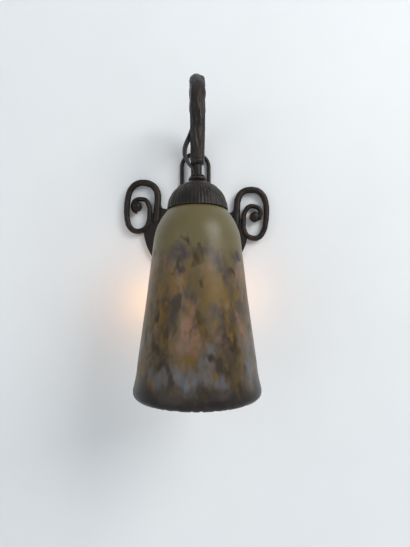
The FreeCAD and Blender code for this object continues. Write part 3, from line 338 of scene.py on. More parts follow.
def effect(name: str, inputs: dict[str, float], outputs: Sequence[str],
           build: Callable[[Tree, Node, Node], None]) -> Tree:
    """Builds a shared node group on a Place vector.

    Args:
        name: Name of the group.
        inputs: Its number inputs and their defaults.
        outputs: Its number outputs.
        build: Fills the group, given its tree, its input node and its output node.

    Returns:
        The group's tree.
    """
    tree = bpy.data.node_groups.new(name, "ShaderNodeTree")
    tree.interface.new_socket("Place", in_out="INPUT", socket_type="NodeSocketVector")
    for label, default in inputs.items():
        socket = tree.interface.new_socket(label, in_out="INPUT", socket_type="NodeSocketFloat")
        socket.default_value = default
    for label in outputs:
        tree.interface.new_socket(label, in_out="OUTPUT", socket_type="NodeSocketFloat")
    build(tree, tree.nodes.new("NodeGroupInput"), tree.nodes.new("NodeGroupOutput"))
    return tree


def build_patches(tree: Tree, given: Node, result: Node) -> None:
    """Soft patches: warped noise cut to a mask between two levels."""
    where, scale = given.outputs["Place"], given.outputs["Scale"]
    warp = add_node(tree, "TexNoise", {"Vector": where, "Scale": scale, "Detail": 2.0})
    shifted = add_node(tree, "VectorMath", {0: warp.outputs["Color"], 1: WARP}, operation="MULTIPLY")
    place = add_node(tree, "VectorMath", {0: where, 1: shifted.outputs[0]}, operation="ADD")
    field_of = add_node(tree, "TexNoise",
                        {"Vector": place.outputs[0], "Scale": scale, "Detail": given.outputs["Detail"],
                         "Roughness": 0.6})
    mask = add_node(tree, "MapRange", {"Value": field_of.outputs[0], "From Min": given.outputs["Low"],
                                       "From Max": given.outputs["High"]}, clamp=True)
    tree.links.new(mask.outputs[0], result.inputs["Mask"])
    tree.links.new(field_of.outputs[0], result.inputs["Field"])


def build_hammer(tree: Tree, given: Node, result: Node) -> None:
    """Hammer marks: shallow cells with a fine scale over them."""
    where = given.outputs["Place"]
    cells = add_node(tree, "TexVoronoi", {"Vector": where, "Scale": given.outputs["Scale"],
                                          "Smoothness": 0.8}, feature="SMOOTH_F1")
    fine = add_node(tree, "TexNoise",
                    {"Vector": where, "Scale": SCALE_OF_GRAIN, "Detail": 5.0, "Roughness": 0.7})
    both = add_node(tree, "Math", {0: fine.outputs[0], 1: given.outputs["Grain"],
                                   2: cells.outputs["Distance"]}, operation="MULTIPLY_ADD")
    tree.links.new(both.outputs[0], result.inputs["Height"])


def build_wear(tree: Tree, given: Node, result: Node) -> None:
    """Worn edges: where the surface is sharply convex, broken up by noise."""
    shape = add_node(tree, "NewGeometry")
    edge = add_node(tree, "MapRange",
                    {"Value": shape.outputs["Pointiness"], "From Min": given.outputs["Edge"],
                     "From Max": SHARPEST}, clamp=True)
    broken = add_node(tree, "TexNoise",
                      {"Vector": given.outputs["Place"], "Scale": given.outputs["Scale"], "Detail": 4.0})
    mask = add_node(tree, "Math", {0: edge.outputs[0], 1: broken.outputs[0]}, operation="MULTIPLY")
    tree.links.new(mask.outputs[0], result.inputs["Mask"])


PATCHES = effect("soft_patches", {"Scale": 60.0, "Detail": 4.0, "Low": 0.45, "High": 0.6},
                 ("Mask", "Field"), build_patches)
HAMMER = effect("hammer_marks", {"Scale": 160.0, "Grain": 0.25}, ("Height",), build_hammer)
WEAR = effect("worn_edges", {"Scale": 300.0, "Edge": 0.51}, ("Mask",), build_wear)


@dataclass(frozen=True)
class IronFinish:
    """Blackened, waxed iron with brown bloom and rubbed edges."""

    name: str
    dark: Colour = (0.0115, 0.0095, 0.0085)
    bloom: Colour = (0.032, 0.022, 0.016)
    rubbed: Colour = (0.07, 0.06, 0.05)
    rough_low: float = 0.36
    rough_high: float = 0.6
    mark_scale: float = 170.0
    mark_depth: float = 0.35 * MM
    bloom_scale: float = 70.0

    def build(self) -> Material:
        """Returns the material."""
        paint = Paint(self.name)
        bloom = paint.group(PATCHES, Scale=self.bloom_scale, Detail=6.0, Low=0.42, High=0.68)
        wear = paint.group(WEAR)
        marks = paint.group(HAMMER, Scale=self.mark_scale)
        colour = paint.mix(bloom.outputs["Mask"], self.dark, self.bloom)
        paint.link(paint.mix(wear.outputs["Mask"], colour, self.rubbed), "Base Color")
        paint.roughness(bloom.outputs["Field"], self.rough_low, self.rough_high)
        paint.bump(marks.outputs["Height"], self.mark_depth)
        paint.set(Metallic=0.55, Specular_IOR_Level=0.45)
        return paint.material


@dataclass(frozen=True)
class GlassFinish:
    """Satin glass with layered mottling, olive above, brown and blue grey below, a dark rim and a painted
    glow near the bulb.
    """

    olive: Colour = (0.112, 0.091, 0.04)
    middle: Colour = (0.078, 0.053, 0.022)
    ochre: Colour = (0.105, 0.06, 0.01)
    rose: Colour = (0.16, 0.09, 0.058)
    purple: Colour = (0.026, 0.019, 0.026)
    umber: Colour = (0.024, 0.014, 0.006)
    blue: Colour = (0.1, 0.105, 0.118)
    rim: Colour = (0.01, 0.006, 0.006)
    top_z: float = -10 * MM
    middle_z: float = -75 * MM
    rim_start_z: float = -152 * MM
    rim_z: float = -185 * MM
    tall: float = 0.55
    waver: float = 50 * MM
    apart: Colour = (0.31, 0.17, 0.23)
    # Painted glow: heights of the band where the glass emits its own colour, standing in for the bulb's
    # light shining through it.
    painted_glow: tuple = (-10 * MM, -60 * MM, -90 * MM, -150 * MM)
    rough_low: float = 0.3
    rough_high: float = 0.46
    ripple: float = 0.6 * MM

    def layers(self) -> tuple:
        """Returns each layer's colour, scale, detail, patch edges and the heights of its band in mm."""
        return ((self.purple, 30.0, 3.0, 0.46, 0.60, (-20.0, -45.0, -80.0, -120.0)),
                (self.ochre, 34.0, 3.0, 0.48, 0.60, (-35.0, -70.0, -150.0, -175.0)),
                (self.rose, 34.0, 3.0, 0.51, 0.64, (-30.0, -55.0, -115.0, -140.0)),
                (self.umber, 30.0, 4.0, 0.48, 0.64, (-60.0, -95.0, -160.0, -185.0)),
                (self.blue, 33.0, 3.0, 0.48, 0.64, (-112.0, -138.0, -160.0, -176.0)),
                (self.ochre, 80.0, 3.0, 0.53, 0.66, (-15.0, -50.0, -165.0, -180.0)),
                (self.umber, 60.0, 1.0, 0.62, 0.72, (5.0, -30.0, -170.0, -185.0)))

    def ramp(self, paint: Paint, height: Socket, start: float, full: float) -> Socket:
        """Returns a mask that rises from 0 at one height to 1 at another."""
        return paint.node("MapRange", {"Value": height, "From Min": start, "From Max": full},
                          clamp=True, interpolation_type="SMOOTHSTEP").outputs[0]

    def band(self, paint: Paint, height: Socket, heights: Sequence[float]) -> Socket:
        """Returns a mask between four heights, going down: starts, full, starts to fade, gone."""
        start, full, hold, gone = heights
        below = self.ramp(paint, height, start, full)
        above = self.ramp(paint, height, gone, hold)
        return paint.maths("MULTIPLY", below, above)

    def build(self) -> Material:
        """Returns the material."""
        paint = Paint("mottled_glass")
        height = paint.node("SeparateXYZ", {0: paint.place}).outputs["Z"]
        stir = paint.group(PATCHES, Scale=45.0, Detail=3.0, Low=0.3, High=0.7).outputs["Field"]
        lowered = paint.maths("ADD", height, -0.5 * self.waver)
        wavy = paint.maths("MULTIPLY_ADD", stir, self.waver, lowered)
        base = paint.mix(self.ramp(paint, wavy, self.middle_z, self.top_z), self.middle, self.olive)
        for number, (colour, scale, detail, low, high, heights) in enumerate(self.layers()):
            moved = paint.node("Mapping", {"Vector": paint.place, "Scale": (1.0, 1.0, self.tall),
                                           "Location": tuple(number * step for step in self.apart)})
            item = paint.group(PATCHES, Scale=scale, Detail=detail, Low=low, High=high)
            paint.tree.links.new(moved.outputs[0], item.inputs["Place"])
            band = self.band(paint, wavy, [MM * level for level in heights])
            base = paint.mix(paint.maths("MULTIPLY", item.outputs["Mask"], band), base, colour)
        base = paint.mix(self.ramp(paint, wavy, self.rim_start_z, self.rim_z), base, self.rim)
        paint.link(base, "Base Color")
        paint.roughness(stir, self.rough_low, self.rough_high)
        # Painted glow: the glass itself emits its colour in a band round the bulb, for bulb light passing
        # through the glass.
        paint.link(paint.mix(self.band(paint, height, self.painted_glow), (0.0, 0.0, 0.0), base), "Emission Color")
        paint.bump(stir, self.ripple, 0.5)
        paint.set(Emission_Strength=0.2, Specular_IOR_Level=0.25, Coat_Weight=0.1, Coat_Roughness=0.3)
        return paint.material


@dataclass(frozen=True)
class PlainFinish:
    """A simple finish with soft variation in colour and roughness and a little grain."""

    name: str
    colour: Colour
    other: Colour
    rough: float
    metallic: float = 0.0
    scale: float = 120.0
    grain: float = 0.03 * MM
    constants: dict = field(default_factory=dict)

    def build(self) -> Material:
        """Returns the material."""
        paint = Paint(self.name)
        patch = paint.group(PATCHES, Scale=self.scale, Detail=5.0, Low=0.4, High=0.65)
        paint.link(paint.mix(patch.outputs["Mask"], self.colour, self.other), "Base Color")
        paint.roughness(patch.outputs["Field"], self.rough * 0.85, min(1.0, self.rough * 1.2))
        paint.bump(patch.outputs["Field"], self.grain)
        paint.set(Metallic=self.metallic, **self.constants)
        return paint.material


class Metal(Enum):
    """Metals and other finishes of the small parts."""

    BRASS = PlainFinish("brass", (0.42, 0.27, 0.09), (0.22, 0.13, 0.05), 0.35, 1.0, 200.0)
    PORCELAIN = PlainFinish("porcelain", (0.78, 0.75, 0.68), (0.7, 0.66, 0.58), 0.18, 0.0, 90.0, 0.02 * MM)
    STEEL = PlainFinish("blackened_steel", (0.03, 0.027, 0.025), (0.06, 0.05, 0.045), 0.38, 0.8, 300.0)
    RUBBER = PlainFinish("black_rubber", (0.014, 0.014, 0.014), (0.024, 0.023, 0.022), 0.7, 0.0, 400.0)
    FLEX = PlainFinish("twisted_flex", (0.012, 0.011, 0.011), (0.026, 0.024, 0.023), 0.45, 0.0, 500.0)
    FELT = PlainFinish("grey_felt", (0.2, 0.19, 0.17), (0.13, 0.12, 0.11), 0.95, 0.0, 900.0, 0.2 * MM,
                       {"Sheen_Weight": 0.4})
    BASE = PlainFinish("base_metal", (0.6, 0.57, 0.52), (0.45, 0.42, 0.38), 0.3, 1.0, 250.0)
    BLACK_GLAZE = PlainFinish("black_insulator", (0.01, 0.01, 0.012), (0.02, 0.02, 0.02), 0.2, 0.0, 300.0)
    SOLDER = PlainFinish("solder", (0.5, 0.5, 0.5), (0.36, 0.36, 0.37), 0.4, 1.0, 500.0)
    FROSTED = PlainFinish("frosted_bulb", (0.9, 0.8, 0.62), (0.84, 0.72, 0.55), 0.45, 0.0, 60.0, 0.01 * MM,
                          {"Emission_Color": (1.0, 0.62, 0.3, 1.0), "Emission_Strength": 3.0})
    CLEAR = PlainFinish("clear_glass", (0.85, 0.88, 0.88), (0.8, 0.84, 0.84), 0.06, 0.0, 60.0, 0.0,
                        {"Transmission_Weight": 0.9, "IOR": 1.5})
    TUNGSTEN = PlainFinish("tungsten", (0.3, 0.27, 0.24), (0.2, 0.18, 0.16), 0.5, 1.0, 900.0)


# sub-assemblies


def roll(form: Form) -> None:
    """Turns a mesh with the wall plate."""
    bmesh.ops.transform(form, matrix=Matrix.Rotation(PLATE_ROLL, 4, "Y"), verts=form.verts)


@dataclass
class Scroll:
    """A bar drawn down and wound up inside itself, ending in a forged ball."""

    name: str
    side: int
    ball_radius: float
    ball_in: float
    ball_up: float
    bar: float = 5.75 * MM
    tip: float = 3.3 * MM
    off_wall: float = 6.5 * MM
    point: float = 12.0 * MM
    foot: Ring = (60.2, 21.0)
    corners: tuple = ((60.2, 33.0), (60.2, 38.0), (60.2, 88.0), (105.8, 88.0), (105.8, 13.6),
                      (71.0, 13.6), (71.0, 62.8), (96.6, 62.8), (96.6, 43.0), (89.6, 43.0))
    end_x: float = 96.6 * MM
    curl_z: float = 50.0 * MM
    ball_off_wall: float = 0.4 * MM
    step: float = 1.2 * MM
    segments: int = 24
    blunt: float = 2.0 * MM
    voxel: float = 0.55 * MM
    hammered: float = 0.35 * MM
    grain: float = 6 * MM

    def stations(self) -> list[Station]:
        """Returns evenly spaced rings along the bar, drawn down to its tip."""
        foot, *corners = [Vector((self.side * x * MM, -self.off_wall, z * MM))
                          for x, z in (self.foot, *self.corners)]
        evenly = respaced([foot, *smooth_way(corners)], self.step)
        rings = []
        total = len(evenly) - 1
        for number, (here, along) in enumerate(zip(evenly, directions(evenly))):
            share = number / total
            half = self.bar + (self.tip - self.bar) * share ** 0.85
            pointed = min(1.0, (number * self.step + self.blunt) / self.point)
            half *= pointed ** 0.7
            rings.append(Station(here, Y_WAY, along.cross(Y_WAY), half, half))
        return rings

    def build(self, material: Material) -> Item:
        """Returns the finished scroll."""
        form = bmesh.new()
        sweep(form, self.stations(), self.segments)
        ball = bmesh.ops.create_uvsphere(form, u_segments=32, v_segments=20, radius=self.ball_radius)
        centre = Vector((self.side * (self.end_x - self.ball_in), -self.ball_radius - self.ball_off_wall,
                         self.curl_z + self.ball_up))
        bmesh.ops.translate(form, vec=centre, verts=ball["verts"])
        skin = remeshed(finish_mesh(form, self.name), self.voxel)
        form = bmesh.new()
        form.from_mesh(skin)
        roughen(form, self.hammered, self.grain, self.side * 3.0)
        roll(form)
        return piece(self.name + "_forged", form, material, [self.name])


def directions(path: Sequence[Vector]) -> list[Vector]:
    """Returns the way that a line of points runs at each of them."""
    last = len(path) - 1
    return [(path[min(last, number + 1)] - path[max(0, number - 1)]).normalized()
            for number in range(last + 1)]


def smooth_way(corners: Sequence[Vector]) -> list[Vector]:
    """Returns points of the smooth spline that the corners shape, both ends included."""
    curve = bpy.data.curves.new("smooth_way", "CURVE")
    curve.dimensions = "3D"
    spline = curve.splines.new("NURBS")
    spline.points.add(len(corners) - 1)
    for point, place in zip(spline.points, corners):
        point.co = (*place, 1.0)
    spline.order_u = 3
    spline.use_endpoint_u = True
    spline.resolution_u = 24
    carrier = placed("smooth_way", curve)
    mesh = bpy.data.meshes.new_from_object(carrier)
    points = [vert.co.copy() for vert in mesh.vertices]
    bpy.data.objects.remove(carrier)
    return points


def respaced(path: Sequence[Vector], step: float) -> list[Vector]:
    """Returns points at even steps along a line of points, both ends included."""
    lengths = [0.0]
    for before, after in zip(path, path[1:]):
        lengths.append(lengths[-1] + (after - before).length)
    count = max(2, round(lengths[-1] / step))
    result = []
    place = 0
    for number in range(count + 1):
        want = lengths[-1] * number / count
        while place < len(path) - 2 and lengths[place + 1] < want:
            place += 1
        run = lengths[place + 1] - lengths[place]
        share = (want - lengths[place]) / run if run else 0.0
        result.append(path[place].lerp(path[place + 1], min(1.0, share)))
    return result


@dataclass
class HangingLoop:
    """An arch of rod riveted into the top of the plate."""

    rod: float = 3.0 * MM
    half_width: float = 20.5 * MM
    middle_y: float = -4.0 * MM
    low_z: float = 40.5 * MM
    top_z: float = 139.0 * MM
    step: float = 1.5 * MM
    segments: int = 20
    hammered: float = 0.12 * MM
    grain: float = 4 * MM

    def build(self, material: Material) -> Item:
        """Returns the finished loop."""
        spring = self.top_z - self.half_width
        outline = [(-self.half_width, self.low_z), *arc((0.0, spring), self.half_width, 180, 0, 48),
                   (self.half_width, self.low_z)]
        path = respaced([Vector((x, self.middle_y, z)) for x, z in outline], self.step)
        rings = []
        for here, along in zip(path, directions(path)):
            rings.append(Station(here, Y_WAY, along.cross(Y_WAY), self.rod, self.rod))
        form = bmesh.new()
        sweep(form, rings, self.segments)
        roughen(form, self.hammered, self.grain, 9.0)
        return piece("hanging_loop_rod", form, material, ["hanging_loop"])


@dataclass
class CrookArm:
    """The arm: a bar forged like a branch, bent over into a crook, on a foot screwed to the plate."""

    off_wall: float = 20.0 * MM
    spring_z: float = 130.0 * MM
    foot_low: float = 2.0 * MM
    foot_high: float = 42.0 * MM
    foot_width: float = 26.0 * MM
    foot_near: float = -8.0 * MM
    foot_thickness: float = 8.0 * MM
    foot_corner: float = 10.4 * MM
    foot_edge: float = 1.0 * MM
    nose_z: float = 69.0 * MM
    nose_round: float = 5.0 * MM
    rear: float = 6.5 * MM
    front: float = 9.2 * MM
    nose: float = 7.8 * MM
    tip: float = 5.3 * MM
    depth_share: float = 0.74
    step: float = 1.6 * MM
    segments: int = 84
    swell_at: float = 0.3
    taper_at: float = 0.7
    change_run: float = 0.25
    nose_at: float = 0.9
    groove: float = 0.95 * MM
    groove_middle: float = 0.55
    ridges: int = 6
    twist: float = 2.2
    wander: float = 1.4
    lump: float = 0.45 * MM
    bark: float = 0.3 * MM
    knot: float = 2.0 * MM
    knot_floor: float = 0.12
    smooth_end: float = 14.0

    def stations(self) -> list[Station]:
        """Returns the rings of the arm from its foot to its nose."""
        radius = (REACH - self.off_wall) / 2
        centre = Vector((0.0, -self.off_wall - radius, self.spring_z))
        start_z = self.foot_low + self.foot_thickness / 2
        path = [Vector((0.0, -self.off_wall, start_z))]
        path += [centre + Vector((0.0, y, z)) for y, z in arc((0.0, 0.0), radius, 0, 180, 96)]
        path.append(Vector((0.0, -REACH, self.nose_z)))
        evenly = respaced(path, self.step)
        total = len(evenly) - 1
        rings = []
        for number, (here, along) in enumerate(zip(evenly, directions(evenly))):
            share = number / total
            swell = clamped((share - self.swell_at) / self.change_run)
            taper = clamped((share - self.taper_at) / self.change_run)
            half = self.rear + (self.front - self.rear) * swell + (self.nose - self.front) * taper
            left = (here - evenly[-1]).length
            at_nose = share >= self.nose_at and left <= self.nose_round
            if at_nose:
                drop = 1.0 - left / self.nose_round
                half = self.tip + (half - self.tip) * math.sqrt(max(0.0, 1.0 - drop * drop))
            depth = half * (1.0 if at_nose else self.depth_share)
            rings.append(Station(here, X_WAY, along.cross(X_WAY), half, depth))
        return rings

    def carve(self, form: Form, count: int) -> None:
        """Cuts wandering bark grooves and knots into the swept bar of so many rings."""
        form.verts.ensure_lookup_table()
        form.normal_update()
        moves = []
        for index, vert in enumerate(form.verts):
            station, place = divmod(index, self.segments)
            if station >= count:
                continue
            share = station / (count - 1)
            angle = 2 * math.pi * place / self.segments
            wander = self.wander * noise.noise(Vector((share * 9.0, 0.0, 3.0))) + self.twist * share
            ridge = abs(math.sin(0.5 * self.ridges * (angle + wander)))
            knot = noise_round(angle, 1.2, share * 15.0, shift=5.0)
            push = (self.groove * (ridge - self.groove_middle)
                    + self.lump * noise_round(angle, 3.0, share * 34.0)
                    + self.bark * noise_round(angle, 7.0, share * 60.0)
                    + self.knot * max(0.0, knot - self.knot_floor))
            moves.append((vert, vert.normal * push * min(1.0, (1.0 - share) * self.smooth_end)))
        for vert, move in moves:
            vert.co += move

    def build(self, material: Material) -> Item:
        """Returns the finished arm with its foot."""
        form = bmesh.new()
        rings = self.stations()
        sweep(form, rings, self.segments)
        bmesh.ops.recalc_face_normals(form, faces=form.faces)
        self.carve(form, len(rings))
        made = bmesh.ops.create_cube(form, size=1.0)["verts"]
        height = self.foot_high - self.foot_low
        bmesh.ops.scale(form, vec=(self.foot_width, self.foot_thickness, height), verts=made)
        middle = Vector((0.0, self.foot_near - self.foot_thickness / 2,
                         (self.foot_low + self.foot_high) / 2))
        bmesh.ops.translate(form, vec=middle, verts=made)
        faces = {face for vert in made for face in vert.link_faces}
        corners = [edge for face in faces for edge in face.edges
                   if abs((edge.verts[0].co - edge.verts[1].co).normalized().y) > 0.9]
        rounded = bmesh.ops.bevel(form, geom=list(set(corners)), offset=self.foot_corner, segments=10,
                                  profile=0.5, affect="EDGES", material=-1)
        faces = [face for face in faces.union(rounded["faces"]) if face.is_valid]
        rims = {edge for face in faces for edge in face.edges
                if abs((edge.verts[0].co - edge.verts[1].co).normalized().y) < 0.1}
        bmesh.ops.bevel(form, geom=list(rims), offset=self.foot_edge, segments=3, profile=0.5,
                        affect="EDGES", material=-1)
        return piece("crook_arm_bark", form, material, ["crook_arm"])


@dataclass
class Flex:
    """Two black cores twisted together, from the plate round the crook into the tube."""

    core: float = 1.45 * MM
    pitch: float = 110.0 * MM
    phase: float = math.pi / 2
    step: float = 1.0 * MM
    segments: int = 14
    route: tuple = (
        (-22.0, -1.0, 14.0), (-22.0, -24.0, 14.5), (-17.0, -34.0, 37.0), (-6.0, -33.0, 66.0),
        (-1.0, -31.0, 104.0), (0.0, -31.5, 150.4), (0.0, -57.7, 181.6), (0.0, -97.8, 188.7),
        (0.0, -133.2, 168.3),
        (-2.5, -146.0, 137.0), (-7.0, -148.5, 109.0), (-17.0, -151.0, 86.0), (-8.7, -154.0, 67.5),
        (-0.6, -155.0, 60.3))

    def build(self, material: Material) -> Item:
        """Returns the twisted pair."""
        path = respaced(smooth_way([MM * Vector(place) for place in self.route]), self.step)
        form = bmesh.new()
        side = X_WAY
        frames = []
        for here, along in zip(path, directions(path)):
            side = (side - along * side.dot(along)).normalized()
            frames.append((here, side.copy(), along.cross(side)))
        for half_turn in (self.phase, self.phase + math.pi):
            rings = []
            for number, (here, across, up) in enumerate(frames):
                angle = half_turn + 2 * math.pi * number * self.step / self.pitch
                middle = here + (across * math.cos(angle) + up * math.sin(angle)) * self.core
                rings.append(Station(middle, across, up, self.core, self.core))
            sweep(form, rings, self.segments)
        item = piece("supply_cord_twist", form, material, ["supply_cord"])
        return item


@dataclass
class ShadeCap:
    """The fluted dome over the neck of the glass."""

    bulge: float = 32.0 * MM
    bulge_in: float = 2.0 * MM
    rim_z: float = 17.4 * MM
    wall: float = 1.6 * MM
    seat_radius: float = 10.2 * MM
    seat_z: float = 49.7 * MM
    flutes: int = 54
    flute_depth: float = 0.36 * MM
    flute_end: float = 46.0
    flute_fade: float = 8.0
    uneven: float = 0.9
    leaves: int = 14
    leaf_low: float = 50.0
    leaf_rise: float = 5.0
    leaf_edge: float = 2.6
    leaf_height: float = 0.81 * MM
    lip: float = 0.35 * MM
    lip_spread: float = 3.0
    plain_above: float = 74.0
    cast: float = 0.28 * MM
    grain: float = 5 * MM
    bore: float = 5.35 * MM

    def build(self, material: Material) -> Item:
        """Returns the finished cap."""
        inner = self.bulge - self.wall
        outside = arc((self.bulge_in, self.rim_z), self.bulge, 0, 75, 44)
        inside = arc((self.bulge_in, self.rim_z), inner, 75, 0, 24)
        under = self.seat_z - self.wall
        rings = [*outside, (self.seat_radius, self.seat_z), (self.bore, self.seat_z), (self.bore, under),
                 (self.seat_radius - 1.0 * MM, under), *inside]
        form = spun(rings, self.flutes * 12)
        for vert in form.verts:
            offset, flat, angle = from_axis(vert)
            out = flat.length - self.bulge_in
            up = offset.z - self.rim_z
            rise = math.degrees(math.atan2(up, out))
            if math.hypot(out, up) < self.bulge - 0.4 * self.wall or rise > self.plain_above:
                continue
            fade = clamped((self.flute_end - rise) / self.flute_fade)
            uneven = 1.0 + self.uneven * noise_round(angle, 6.0, 2.0)
            dip = self.flute_depth * fade * uneven * (1.0 - abs(math.sin(0.5 * self.flutes * angle)))
            scallop = self.leaf_rise * abs(math.sin(0.5 * self.leaves * angle))
            band = math.exp(-((rise - self.leaf_low - scallop) / self.leaf_edge) ** 2)
            lip = self.lip * math.exp(-(rise / self.lip_spread) ** 2)
            vert.co += flat.normalized() * (self.leaf_height * band - dip + lip)
        roughen(form, self.cast, self.grain, 4.0)
        return piece("shade_cap_fluted", form, material, ["shade_cap"])


@dataclass
class GlassBell:
    """The tall bell of blown glass, with a slightly uneven wall and a nibbled lip."""

    wall: float = 3.5 * MM
    shoulder: float = 62.0 * MM
    centre: Ring = (-13.05 * MM, -25.25 * MM)
    neck_radius: float = 20.9 * MM
    neck_z: float = 22.5 * MM
    side_radius: float = 48.4 * MM
    side_z: float = -17.0 * MM
    flare_radius: float = 64.8 * MM
    flare_z: float = -150.0 * MM
    rim_radius: float = 69.6 * MM
    rim_z: float = -178.0 * MM
    lip_z: float = -187.0 * MM
    lip_round: float = 6.0 * MM
    neck_edge: float = 1.2 * MM
    side_bow: float = 0.5 * MM
    flare_bow: float = 0.7 * MM
    steps: int = 192
    sway: float = 0.55 * MM
    sway_run: float = 60 * MM
    sway_grain: float = 70 * MM
    nibble: float = 1.8 * MM
    nibble_floor: float = 0.1
    nibble_height: float = 4 * MM

    def bowed(self, top: Ring, low: Ring, bow: float, inset: float, count: int) -> list[Ring]:
        """Returns a profile between two points that bows in a little, without its top point."""
        rings = []
        for number in range(1, count + 1):
            share = number / count
            radius = top[0] + (low[0] - top[0]) * share - inset - bow * math.sin(math.pi * share)
            rings.append((radius, top[1] + (low[1] - top[1]) * share))
        return rings

    def side(self, inset: float) -> list[Ring]:
        """Returns the profile from the neck down to the lip, moved in by a wall."""
        start = math.degrees(math.asin((self.neck_z - self.centre[1]) / self.shoulder))
        end = math.degrees(math.asin((self.side_z - self.centre[1]) / self.shoulder))
        rings = arc(self.centre, self.shoulder - inset, start, end, 22)
        side, flare = (self.side_radius, self.side_z), (self.flare_radius, self.flare_z)
        rings += self.bowed(side, flare, self.side_bow, inset, 28)
        rings += self.bowed(flare, (self.rim_radius, self.rim_z), self.flare_bow, inset, 10)
        return rings

    def build(self, material: Material) -> Item:
        """Returns the finished bell."""
        inner = [ring for ring in self.side(self.wall) if ring[0] > self.neck_radius + 0.3 * MM]
        corner = (self.rim_radius - self.lip_round, self.lip_z + self.lip_round)
        lip = arc(corner, self.lip_round, 0, -80, 10) + arc(corner, self.lip_round - self.wall, -80, 0, 6)
        rings = [*self.side(0.0), *lip, *reversed(inner), (self.neck_radius, self.neck_z - self.neck_edge),
                 (self.neck_radius, self.neck_z)]
        form = spun(rings, self.steps)
        for vert in form.verts:
            offset, flat, angle = from_axis(vert)
            low = clamped((self.side_z - offset.z) / self.sway_run)
            sway = low * self.sway * noise_round(angle, 1.6, offset.z / self.sway_grain)
            vert.co += flat.normalized() * sway
            near_lip = max(0.0, 1.0 - (offset.z - self.lip_z) / self.nibble_height)
            nibble = max(0.0, noise_round(angle, 16.0, 7.0) - self.nibble_floor)
            vert.co.z += near_lip * self.nibble * nibble
        return piece("glass_bell", form, material, ["glass_shade"])


@dataclass
class TurnedStack:
    """Turned pieces on the lamp's line: the collar and the threaded tube."""

    tube: float = 5.0 * MM
    bore: float = 3.5 * MM
    thread: float = 0.45 * MM
    thread_pitch: float = 1.0 * MM
    tube_low: float = 34.0 * MM
    tube_high: float = 84.0 * MM
    collar_bore: float = 5.06 * MM
    collar_low: float = 49.75 * MM
    collar_foot: float = 7.4 * MM
    bead: float = 2.45 * MM
    bead_centre: Ring = (7.9 * MM, 52.2 * MM)
    waist: tuple = ((8.1 * MM, 54.7 * MM), (7.6 * MM, 55.0 * MM))
    upper: float = 0.85 * MM
    upper_centre: Ring = (7.5 * MM, 55.8 * MM)
    collar_high: float = 56.75 * MM

    def collar(self, material: Material) -> Item:
        """Returns the collar, a fat bead under a smaller rim."""
        rings = [(self.collar_bore, self.collar_low), (self.collar_foot, self.collar_low),
                 *arc(self.bead_centre, self.bead, -80, 75, 12), *self.waist,
                 *arc(self.upper_centre, self.upper, -60, 90, 8), (self.collar_bore, self.collar_high)]
        form = spun(rings, 96)
        roughen(form, 0.1 * MM, 4 * MM, 2.0)
        return piece("collar_turned", form, material, ["collar_ring"])

    def threads(self, material: Material) -> Item:
        """Returns the threaded tube with its fine thread."""
        rings = [(self.bore, self.tube_low)]
        count = round((self.tube_high - self.tube_low) / self.thread_pitch)
        for number in range(count):
            low = self.tube_low + number * self.thread_pitch
            rings += [(self.tube - self.thread, low), (self.tube, low + 0.5 * self.thread_pitch)]
        rings += [(self.tube - self.thread, self.tube_high), (self.bore, self.tube_high)]
        form = spun(rings, 48)
        return piece("threaded_tube_cut", form, material, ["threaded_tube"])


@dataclass
class Bulb:
    """The lit bulb: a frosted pear in a threaded base."""

    radius: float = 29.0 * MM
    wall: float = 0.9 * MM
    neck: float = 11.6 * MM
    shoulder: Ring = (6.5 * MM, 31 * MM)
    throat: Ring = (1.8 * MM, 6 * MM)
    steps: int = 72
    root: float = 12.4 * MM
    crest: float = 13.1 * MM
    pitch: float = 3.6 * MM
    turns: int = 5
    thread_start: float = 2.0 * MM
    thread_shape: tuple = (0.0, 0.35, 0.6, 0.95)
    inside: float = 11.7 * MM
    top: float = 11.9 * MM
    hole: float = 6.0 * MM
    sheet: float = 1 * MM

    def build(self, frosted: Material, base: Material) -> None:
        """Adds the envelope and the base."""
        low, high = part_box("bulb_envelope")
        base_low, base_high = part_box("bulb_base")
        globe_z = low.z + self.radius
        pear = arc((0.0, globe_z), self.radius, -90, 38, 26)
        pear += [(self.neck + self.shoulder[0], globe_z + self.shoulder[1]),
                 (self.neck + self.throat[0], base_low.z - self.throat[1]),
                 (self.neck, base_low.z + self.sheet), (self.neck, high.z)]
        form = spun(pear, self.steps, closed=False)
        envelope = piece("bulb_pear", form, frosted, ["bulb_envelope"], BULB_BODY)
        thicken = envelope.modifiers.new("wall", "SOLIDIFY")
        thicken.thickness = self.wall
        rings = [(self.inside, base_low.z), (self.root, base_low.z)]
        for number in range(self.turns):
            start = base_low.z + self.thread_start + number * self.pitch
            rings += [(radius, start + share * self.pitch) for radius, share
                      in zip((self.root, self.crest, self.crest, self.root), self.thread_shape)]
        rings += [(self.top, base_high.z), (self.hole, base_high.z),
                  (self.hole, base_high.z - self.sheet), (self.inside, base_high.z - self.sheet)]
        form = spun(rings, self.steps)
        piece("bulb_base_rolled", form, base, ["bulb_base"], BULB_BODY)


# room


@dataclass(frozen=True)
class Lamp:
    """One light: its place and aim in metres, its energy in watts, its colour and its size in metres."""

    name: str
    kind: str
    place: tuple
    energy: float
    colour: Colour
    size: float
    aim: tuple = (0.0, -0.1, 0.0)


LAMPS = (
    Lamp("window", "AREA", (1.3, -1.5, 1.1), 33.0, (1.0, 0.995, 0.985), 1.2),
    Lamp("fill", "AREA", (-1.4, -1.6, 0.3), 7.0, (0.98, 0.99, 1.0), 1.4),
    Lamp("rear", "AREA", (-0.7, 1.1, 0.6), 7.0, (1.0, 0.99, 0.97), 0.8),
    Lamp("warm_left", "POINT", (-0.064, -0.05, -0.085), 0.1, (1.0, 0.42, 0.06), 0.03, (0, 0, 0)),
    Lamp("warm_right", "POINT", (0.072, -0.055, -0.075), 0.05, (1.0, 0.45, 0.14), 0.02, (0, 0, 0)),
)


